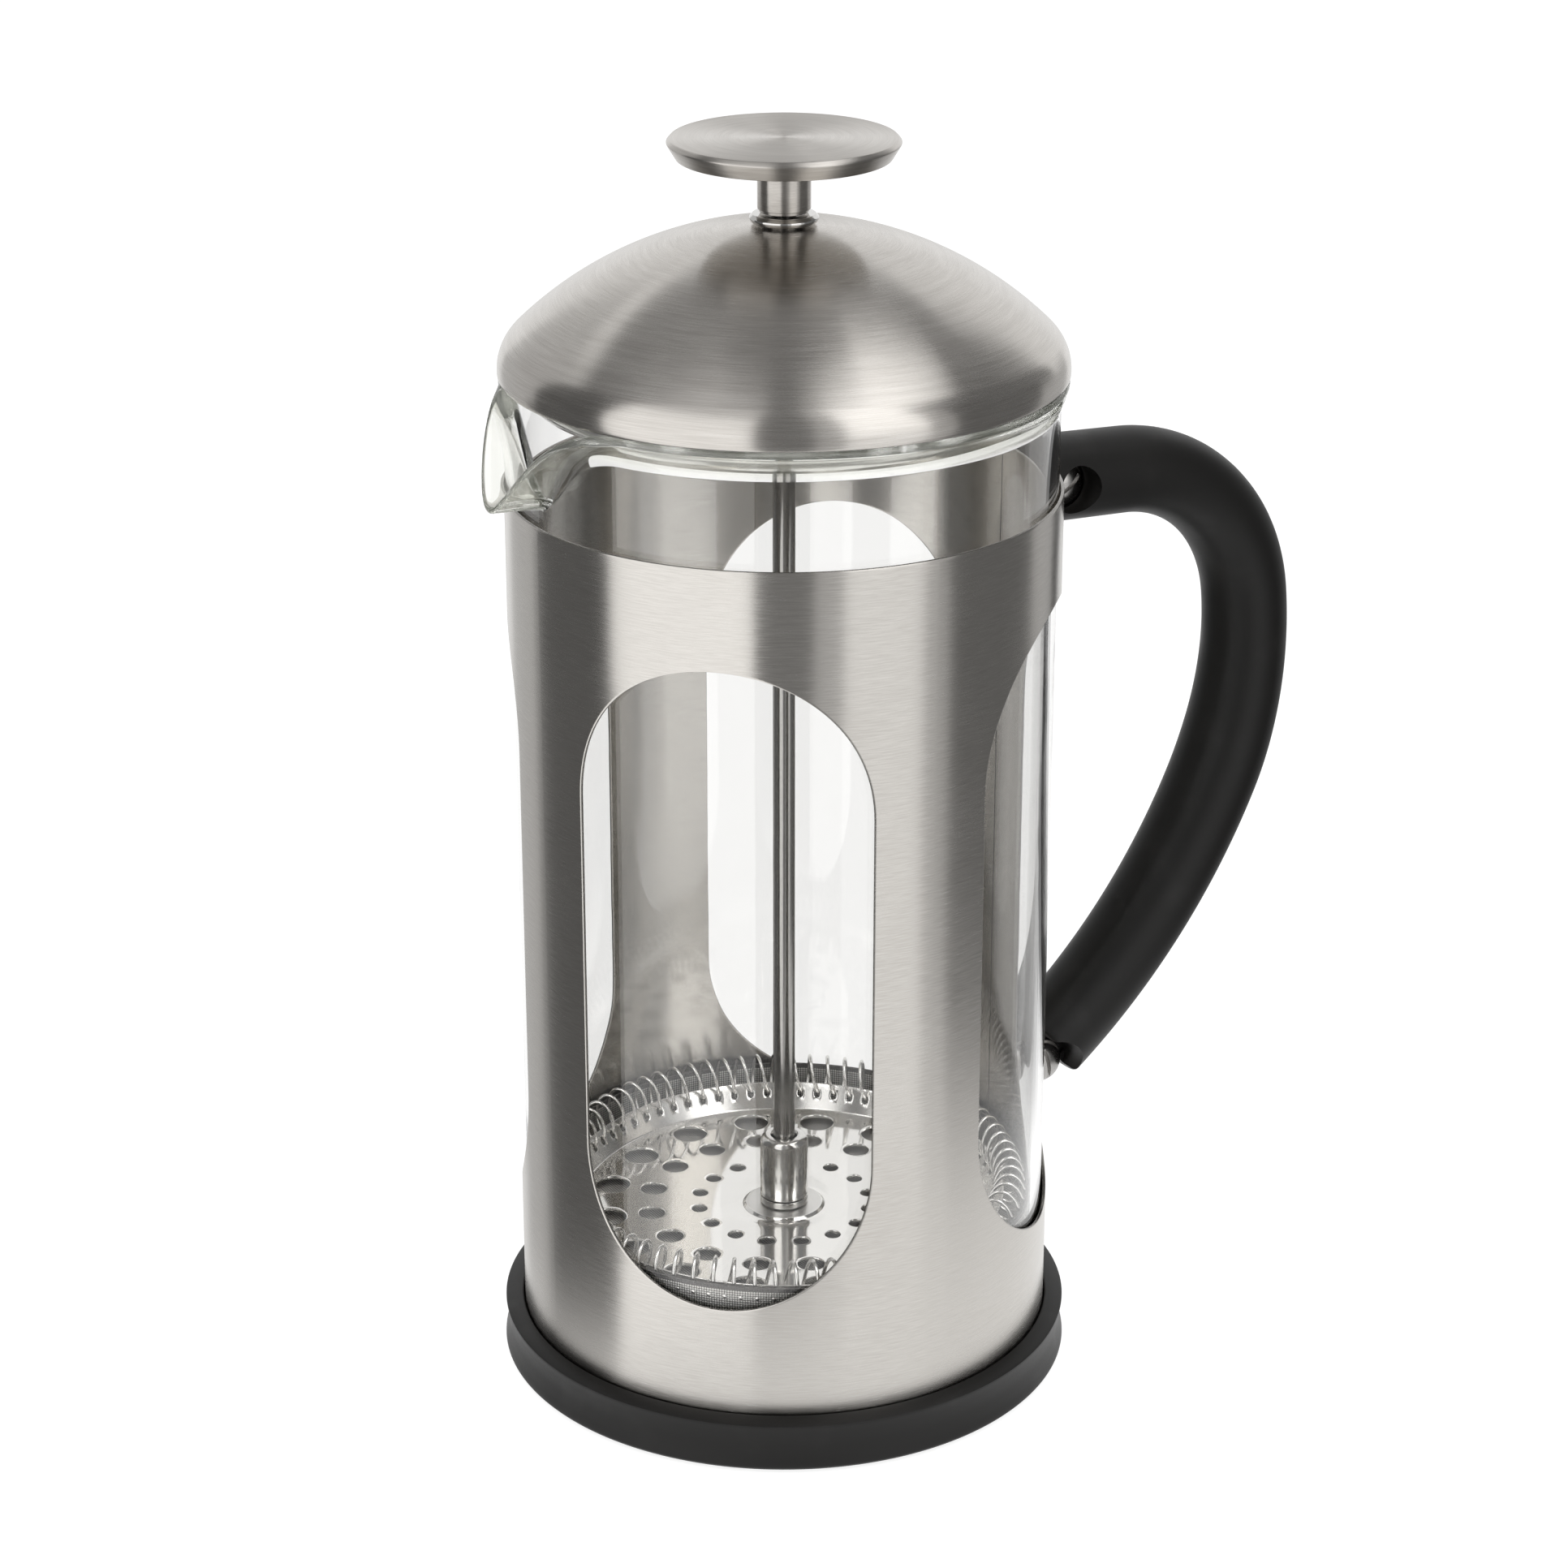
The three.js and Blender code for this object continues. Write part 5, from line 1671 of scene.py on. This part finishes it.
@dataclass
class Filter:
    """The strainer: hub, washer, perforated plate, coil, woven dish, cross and nut."""

    hub: tuple[Triple, ...] = (
        (0, 20.2, 0),
        (2.3, 20.2, 0),
        (2.7, 20.6, 0.1),
        (2.7, 28.8, 0),
        (4.43, 28.8, 0.12),
        (4.43, 40.9, 1.45),
        (2.6, 40.9, 0.2),
        (2.3, 40.5, 0),
        (2.3, 30.2, 0),
        (0, 30.2, 0),
    )
    washer: tuple[Triple, ...] = ((3, 27.3, 0), (4.45, 27.3, 0.15), (4.45, 28.5, 0.12), (3, 28.5, 0))
    plate_top: float = 27.0
    plate_sheet: float = 0.6
    plate_line: tuple[Pair, ...] = (
        (3.0, 27.0),
        (6.6, 27.0),
        (7.1, 26.94),
        (7.35, 26.72),
        (7.6, 26.52),
        (7.95, 26.46),
        (8.6, 26.54),
        (10.1, 26.82),
        (10.8, 26.95),
        (11.4, 27.0),
        (12.5, 27.0),
    )
    bore: float = 3.0
    flat: float = 38.03
    rim_radius: float = 40.8
    rim_height: float = 31.7
    holes: tuple[tuple[float, float, float, float], ...] = (
        (12.5, 20.5, 16.03, 1.4),
        (20.5, 29.0, 25.03, 2.4),
        (29.0, 38.03, 33.03, 3.2),
    )
    hole_count: int = 16
    hole_start: float = 2.25
    hole_edge: float = 0.2
    side_steps: int = 10
    rim_start: Pair = (0.32, 0.3)
    rim_lip: Pair = (0.1, 0.2)
    rim_sheet: float = 0.4
    rim_foot: tuple[Pair, ...] = ((0.5, -0.25), (0.25, -0.6), (0.01, -0.6), (0.01, 0.0), (0.17, 0.06))
    eye_steps: int = 4
    eye_depth: float = 1.95
    eye_height: float = 1.7
    eye_width: float = 1.3
    eye_start: float = 1.7
    weld: float = 0.38
    weld_count: int = 99
    weld_height: float = 31.3
    coil_ring: float = 42.0
    coil_height: float = 32.7
    coil_reach: float = 2.8
    coil_rise: float = 4.0
    coil_lean: float = -0.35
    coil_turns: int = 76
    coil_joint: float = 0.15
    turn_steps: int = 22
    wire: float = 0.35
    mesh_outer: float = 45.6
    mesh_low: float = 25.2
    mesh_sheet: float = 0.4
    mesh_wall: float = 33.6
    mesh_heel: float = 1.4
    mesh_middle: float = 20.0
    mesh_sides: int = 256
    arm_reach: float = 37.3
    arm_width: float = 9.0
    arm_low: float = 24.1
    arm_high: float = 24.9
    arm_edge: float = 0.15
    arm_neck: float = 1.6
    arm_ease: tuple[Pair, ...] = ((1.4, 0.45), (3.2, 0.0))
    nut_flats: float = 9.0
    nut_height: float = 3.0
    nut_base: float = 20.8

    def cell(self, inner: float, outer: float, middle: float, hole: float) -> Draft:
        """Makes one hole with the part of the plate round it.

        Args:
            inner: The cell's inner radius.
            outer: Its outer radius.
            middle: The hole's radius from the axis.
            hole: The hole's own radius.

        Returns:
            The draft, open towards its neighbours.
        """
        out, round_axis = square(self.side_steps).T
        radii = inner + (outer - inner) * (out + 1) / 2
        edge = polar(radii, round_axis * math.pi / self.hole_count, 0)[:, :2]
        centre = np.array((middle, 0.0))
        spokes = edge - centre
        spokes /= np.linalg.norm(spokes, axis=1, keepdims=True)
        soft, sheet = self.hole_edge, self.plate_sheet
        near = centre + spokes * (hole + soft)
        flat = [near + (edge - near) * share for share in (1.0, 0.5, 0.15, 0.0)]
        cuts = ((0.4, 0.05), (0.0, soft), (0.0, sheet - soft), (0.4, sheet - 0.05))
        rows = [(line, 0.0) for line in flat]
        rows += [(centre + spokes * (hole + soft * inset), depth) for inset, depth in cuts]
        rows += [(line, sheet) for line in reversed(flat)]
        grid = [np.column_stack([line, np.full(len(line), self.plate_top - depth)]) for line, depth in rows]
        return Draft().sheet(np.array(grid), close_columns=True)

    def plate_wedge(self) -> bpy.types.Object:
        """Makes one sixteenth of the plate, with a hole of each ring.

        Returns:
            The wedge.
        """
        half = math.pi / self.hole_count
        turns = np.linspace(-half, half, self.side_steps + 1)
        lower = [(radius, z - self.plate_sheet) for radius, z in self.plate_line]
        rim = [(self.flat, self.plate_top), (self.flat, self.plate_top - self.plate_sheet)]
        draft = Draft().sheet(swept([*reversed(self.plate_line), *lower], turns))
        for hole in self.holes:
            draft.join(self.cell(*hole))
        return draft.sheet(swept(rim, turns)).shape("drilled_plate")

    def rim_wedge(self) -> bpy.types.Object:
        """Makes the part of the plate's upturned rim that holds one eye for the spring.

        Returns:
            The wedge.
        """
        half = math.pi / self.coil_turns
        low = np.array((self.flat, self.plate_top)) + self.rim_start
        top = np.array((self.rim_radius, self.rim_height)) - self.rim_lip
        length = float(np.linalg.norm(top - low))
        along = (top - low) / length
        across = np.array((along[1], -along[0])) * self.rim_sheet
        edge = (square(self.eye_steps) + (1, 0)) * (length / 2, half)
        centre = np.array((length - self.eye_depth, 0.0))
        reach = np.array((1.0, self.rim_radius - 1.0))
        spokes = (edge - centre) * reach
        spokes /= np.linalg.norm(spokes, axis=1, keepdims=True)
        eye = centre + spokes * (self.eye_height / 2, self.eye_width / 2) / reach
        shares = (1.0, 0.4, 0.1, 0.0)
        rows = []
        for share, depth in zip((*shares, *reversed(shares)), (0, 0, 0, 0.2, 0.8, 1, 1, 1)):
            line = eye + (edge - eye) * share
            place = low + line[:, :1] * along + across * depth
            rows.append(polar(place[:, 0], line[:, 1], place[:, 1]))
        draft = Draft().sheet(np.array(rows), close_columns=True)
        turns = np.linspace(-half, half, self.eye_steps + 1)
        lip = [
            top + across / 2 - across / 2 * math.cos(a) + along * self.rim_sheet / 2 * math.sin(a)
            for a in np.radians(np.linspace(0, 180, 6))
        ]
        foot = [low + across, *((self.flat + out, self.plate_top + up) for out, up in self.rim_foot), low]
        return draft.sheet(swept(lip, turns)).sheet(swept(foot, turns)).shape("plate_rim")

    def welds(self) -> bpy.types.Object:
        """Makes the row of spot welds that holds the dish's hem.

        Returns:
            The welds.
        """
        size = self.weld
        dot = turned([(0, -0.1), (size, -0.1), (size, 0), (size * 0.6, 0.06), (0, 0.08)], sides=12)
        shift = Matrix.Translation((self.mesh_outer, 0, self.weld_height))
        dot.moved(shift @ Matrix.Rotation(math.pi / 2, 4, "Y"))
        return soften(repeated(dot.shape("hem_welds"), WIRE_STEEL, self.weld_count), angle=50)

    def coil(self) -> bpy.types.Object:
        """Winds the spring that presses the woven dish against the glass.

        Returns:
            The spring.
        """
        seed = added("spring_coil", bpy.data.meshes.new("spring_coil"))
        values = {
            "Steps": self.coil_turns * self.turn_steps + 1,
            "Ring Radius": self.coil_ring * MM,
            "Height": self.coil_height * MM,
            "Loop Reach": self.coil_reach * MM,
            "Loop Rise": -self.coil_rise * MM,
            "Lean": self.coil_lean / self.coil_ring,
            "Turns": float(self.coil_turns),
            "Joint Angle": math.radians(self.coil_joint),
            "Wire Radius": self.wire * MM,
        }
        return soften(coil_grower().grow(seed, WIRE_STEEL, values), angle=60)

    def dish(self) -> bpy.types.Object:
        """Makes the woven dish, with weave coordinates that run flat on its floor and round its wall.

        Returns:
            The dish.
        """
        angles = np.arange(self.mesh_sides + 1) * FULL_TURN / self.mesh_sides
        low, sheet, outer, heel = self.mesh_low, self.mesh_sheet, self.mesh_outer, self.mesh_heel
        brim, bend = self.mesh_wall - sheet / 2, (outer - heel, low + heel)
        floor = (self.bore, self.mesh_middle, outer - heel)
        strips = [
            ([(radius, low) for radius in floor], False),
            ([*arc(bend, heel, -90, 0, 6), (outer, brim)], True),
            (arc((outer - sheet / 2, brim), sheet / 2, 0, 180, 6), True),
            ([(outer - sheet, brim), *arc(bend, heel - sheet, 0, -90, 6)], True),
            ([(radius, low + sheet) for radius in reversed(floor)], False),
            ([(self.bore, low + sheet), (self.bore, low)], True),
        ]
        draft = Draft()
        for line, wall in strips:
            grid = swept(line, angles)
            draft.sheet(grid)
            round_wall = np.broadcast_to(angles * outer, grid.shape[:2])
            weave = np.stack([round_wall, grid[..., 2]], -1) if wall else grid[..., :2]
            draft.weave.extend(weave.reshape(-1, 2))
        return soften(draft.shape("wire_cloth_dish"), angle=50)

    def cross(self) -> bpy.types.Object:
        """Makes the four-armed plate under the dish.

        Returns:
            The plate.
        """
        half, edge, thick = self.arm_width / 2, self.arm_edge, self.arm_high - self.arm_low
        neck = half + self.arm_neck
        side = [(neck, -neck), *((neck + along, -half - out) for along, out in self.arm_ease)]
        tip = arc((self.arm_reach - half, 0), half, -90, 90, 24)
        line = np.array([(0, 0), *side, *tip, *((x, -y) for x, y in reversed(side))])
        inward = [(-0.2, 1.0), (-0.5, 1.0), (0.0, 1.0)]
        round_tip = [(-math.cos(a), -math.sin(a)) for a in np.radians(np.linspace(-90, 90, 25))]
        normals = np.array([(0.0, 0.0), *inward, *round_tip, *((x, -y) for x, y in reversed(inward))])
        insets = ((edge, 0), (0, edge), (0, thick - edge), (edge, thick))
        rings = [(line + normals * inset, self.arm_low + height) for inset, height in insets]
        whole = repeated(stacked(rings, start=1).shape("cross_arms"), BRIGHT_STEEL, 4)
        hole = turned([(0, 20), (self.bore, 20), (self.bore, 28), (0, 28)], sides=96).shape("cut_hole")
        return soften(carve(whole, [hole]), angle=40)

    def build(self) -> None:
        """Makes the strainer's pieces; the plate and its rim are repeated round the axis."""
        body, polished = Body.FILTER, Slot.POLISHED
        hub = spun("hub_bush", self.hub, sides=128, steps=8, closed=False)
        fit(hub, body, polished, HUB_STEEL, "filter_hub")
        fit(spun("hub_ring", self.washer, sides=96), body, polished, HUB_STEEL, "hub_washer")
        plate = repeated(self.plate_wedge(), PLATE_STEEL, self.hole_count, self.hole_start)
        fit(soften(plate, angle=28), body, polished, PLATE_STEEL, "perforated_plate")
        rim = repeated(self.rim_wedge(), HUB_STEEL, self.coil_turns, self.eye_start)
        fit(soften(rim, angle=40), body, polished, HUB_STEEL, "perforated_plate")
        fit(self.coil(), body, polished, WIRE_STEEL, "coil_spring")
        fit(self.dish(), body, Slot.WOVEN, WIRE_CLOTH, "filter_mesh")
        fit(self.welds(), body, Slot.WOVEN, WIRE_STEEL, "filter_mesh")
        fit(self.cross(), body, polished, BRIGHT_STEEL, "cross_plate")
        nut = hex_nut("hub_nut", self.nut_flats, self.bore, self.nut_height, self.nut_base)
        fit(nut, body, polished, BRIGHT_STEEL, "filter_nut")


# ---------------------------------------------------------------- studio


def mirrored(loom: Loom) -> Term:
    """Says, as 1 or 0, whether a ray has been reflected on its way, also where it then passed glass."""
    return loom.math("MINIMUM", loom.rays("Is Glossy Ray", "Glossy Depth"), 1.0)


def seen(loom: Loom) -> Term:
    """Says, as 1 or 0, whether a ray sees things: from the camera, in a reflection or through glass."""
    return loom.rays("Is Camera Ray", "Is Glossy Ray", "Is Transmission Ray")


def glow(name: str, tone: float, share: Callable[[Loom], Term]) -> bpy.types.Material:
    """Makes a light of one tone that is clear where its share is 0.

    Args:
        name: The material's name.
        tone: How bright it is.
        share: Adds the nodes for how much of it shows.

    Returns:
        The material.
    """
    made, loom = surface(name)
    light = loom.out("ShaderNodeEmission", {"Strength": tone})
    clear = loom.out("ShaderNodeBsdfTransparent")
    loom.end("ShaderNodeMixShader", {0: share(loom), 1: clear, 2: light})
    return made


def reflected_only(name: str, grid: np.ndarray, finish: bpy.types.Material) -> None:
    """Sets up a part of the studio that only reflections see.

    Args:
        name: The part's name.
        grid: Its points, in millimetres.
        finish: Its material.
    """
    stage = Draft().sheet(grid).shape(name)
    stage.data.materials.append(finish)
    stage.visible_camera = stage.visible_diffuse = stage.visible_shadow = False


@dataclass(frozen=True)
class Card:
    """A card of one tone, hung round the object from start to end and from low to high, in degrees."""

    name: str
    tone: float
    start: float
    end: float
    low: float
    high: float
    distance: float = 1.6

    def hang(self, facing: float, middle: float) -> None:
        """Hangs the card.

        Args:
            facing: The camera's direction round the axis, in degrees, from which its angles count.
            middle: The height that it is hung round, in metres.
        """
        around = np.radians(facing + np.linspace(self.start, self.end, 25))
        up = np.radians(np.linspace(self.low, self.high, 13))[:, None]
        grid = polar(self.distance * np.cos(up), around, middle + self.distance * np.sin(up))
        reflected_only(self.name, grid / MM, glow(self.name, self.tone, mirrored))


@dataclass
class Studio:
    """A pale floor, a plain sky, two lamps, the cards and the camera."""

    camera_place: Triple = (-0.3457, -0.5641, 0.3744)
    tilt: float = 68.25
    heading: float = -31.5
    lens: float = 91.24
    sensor: float = 36.0
    sky: float = 0.72
    middle: float = 0.1
    lamp_side: float = 0.5
    lamp_distance: float = 0.9
    lamp_radiance: float = 2.4
    lamp_height: float = 55.0
    lamps: tuple[tuple[str, float], ...] = (("lamp_left", -40), ("lamp_right", 40))
    floor_reach: float = 6000.0
    floor_level: float = -0.4
    floor_light: float = 0.86
    floor_paper: float = 0.3
    table_reach: float = 150.0
    table_edge: float = 85.0
    table_level: float = -0.3
    table_shift: Pair = (52.0, 30.0)
    table_tone: float = 1.12
    bounces: int = 64
    cards: tuple[Card, ...] = (
        Card("card_left_box", 1.45, -74, -12, -60, 45),
        Card("card_left_top", 0.85, -74, -12, 45, 70),
        Card("card_right_lead", 0.6, 12, 24, -60, 66),
        Card("card_right_box", 1.12, 24, 58, -60, 5),
        Card("card_right_lamp", 1.85, 24, 58, 5, 52),
        Card("card_right_high", 1.9, 24, 112, 52, 74, 1.55),
        Card("card_right_fade", 0.6, 58, 70, -60, 52),
        Card("card_left_dark", 0.14, -121, -74, -60, -8),
        Card("card_left_dusk", 0.14, -113, -74, -8, 54),
        Card("card_left_grey", 0.62, -150, -121, -60, -8),
        Card("card_left_dawn", 0.62, -150, -113, -8, 40),
        Card("card_right_dark", 0.17, 70, 120, -60, 52),
        Card("card_right_shade", 0.2, 120, 134, 6, 52),
        Card("card_right_grey", 0.55, 120, 150, -60, 6),
        Card("card_gap", 0.25, -12, 12, -60, 74, 1.55),
        Card("card_back_high", 0.36, 112, 286, 46, 74, 1.58),
        Card("card_back", 1.0, 150, 210, -60, 46),
        Card("card_above", 0.26, -180, 180, 74, 89.9, 1.5),
    )

    def facing(self) -> float:
        """The camera's direction round the axis, in degrees."""
        return math.degrees(math.atan2(self.camera_place[1], self.camera_place[0]))

    def world(self) -> None:
        """Sets the sky: white where it is seen, plain and softer where it lights."""
        world = bpy.data.worlds.new("studio")
        bpy.context.scene.world = world
        world.use_nodes = True
        loom = Loom(world.node_tree)
        strength = seen(loom) * (1 - self.sky) + self.sky
        inputs = {"Strength": strength, "Color": (1, 1, 1, 1)}
        loom.end("ShaderNodeBackground", inputs, "ShaderNodeOutputWorld")

    def floor(self) -> None:
        """Lays the floor: white where it is seen, with the object's soft shadow."""
        reach = (-self.floor_reach, self.floor_reach)
        grid = np.array([[(x, y, self.floor_level) for x in reach] for y in reach])
        floor = Draft().sheet(grid).shape("floor")
        paper, loom = surface("floor_paper")
        light = loom.out("ShaderNodeEmission", {"Strength": seen(loom) * self.floor_light})
        matt = loom.out("ShaderNodeBsdfDiffuse", {"Color": (*[self.floor_paper] * 3, 1)})
        both = loom.out("ShaderNodeAddShader", {0: light, 1: matt})
        clear = loom.out("ShaderNodeBsdfTransparent")
        loom.end("ShaderNodeMixShader", {0: mirrored(loom), 1: both, 2: clear})
        floor.data.materials.append(paper)
        floor.visible_glossy = False

    def table(self) -> None:
        """Lays the pale table top that only reflections see, fading out to the right and the front."""
        right, front = self.table_shift
        facing = math.radians(self.facing())
        middle_x = front * math.cos(facing) - right * math.sin(facing)
        middle_y = front * math.sin(facing) + right * math.cos(facing)
        reach = (-self.table_reach, self.table_reach)
        grid = [[(middle_x + x, middle_y + y, self.table_level) for x in reach] for y in reach]

        def share(loom: Loom) -> Term:
            """Fades the table out from its middle.

            Args:
                loom: The material's loom.

            Returns:
                How much of the table shows.
            """
            x, y, _ = loom.split(loom.place())
            across, along = x - middle_x, y - middle_y
            away = (across * across + along * along) ** 0.5
            return mirrored(loom) * (1 - loom.ramp(away, self.table_edge, self.table_reach))

        reflected_only("table", np.array(grid), glow("table_paper", self.table_tone, share))

    def lamp(self, name: str, around: float) -> None:
        """Hangs a square soft lamp that points at the object.

        Args:
            name: The lamp's name.
            around: Its angle from the camera's direction, in degrees.
        """
        data = bpy.data.lights.new(name, "AREA")
        data.shape = "SQUARE"
        data.size = self.lamp_side
        data.energy = self.lamp_radiance * math.pi * self.lamp_side**2
        lamp = added(name, data)
        lamp.visible_glossy = False
        turn = Matrix.Rotation(math.radians(self.facing() + around), 4, "Z")
        lean = Matrix.Rotation(math.radians(90 - self.lamp_height), 4, "Y")
        back = Matrix.Translation((0, 0, self.lamp_distance))
        lamp.matrix_world = Matrix.Translation((0, 0, self.middle)) @ turn @ lean @ back

    def camera(self) -> None:
        """Sets the camera."""
        data = bpy.data.cameras.new("camera")
        data.lens = self.lens
        data.sensor_width = self.sensor
        camera = added("camera", data)
        camera.location = self.camera_place
        camera.rotation_euler = (math.radians(self.tilt), 0, math.radians(self.heading))
        bpy.context.scene.camera = camera

    def build(self) -> None:
        """Sets up the whole studio."""
        scene = bpy.context.scene
        scene.view_settings.view_transform = "Standard"
        scene.cycles.max_bounces = scene.cycles.transmission_bounces = self.bounces
        scene.cycles.glossy_bounces = self.bounces
        self.world()
        self.floor()
        self.table()
        for name, around in self.lamps:
            self.lamp(name, around)
        for card in self.cards:
            card.hang(self.facing(), self.middle)
        self.camera()


def main() -> None:
    """Builds the press and its studio."""
    logging.basicConfig(level=logging.INFO, format="%(name)s: %(message)s")
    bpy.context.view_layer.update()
    handle = Handle()
    upper = ClampScrew("upper", handle.upper_screw, slot_turn=-35)
    lower = ClampScrew("lower", handle.lower_screw(), slot_turn=80)
    for part in (Foot(), Beaker(), Sleeve(), handle, upper, lower, Lid(), Plunger(), Filter(), Studio()):
        part.build()


if __name__ == "__main__":
    main()
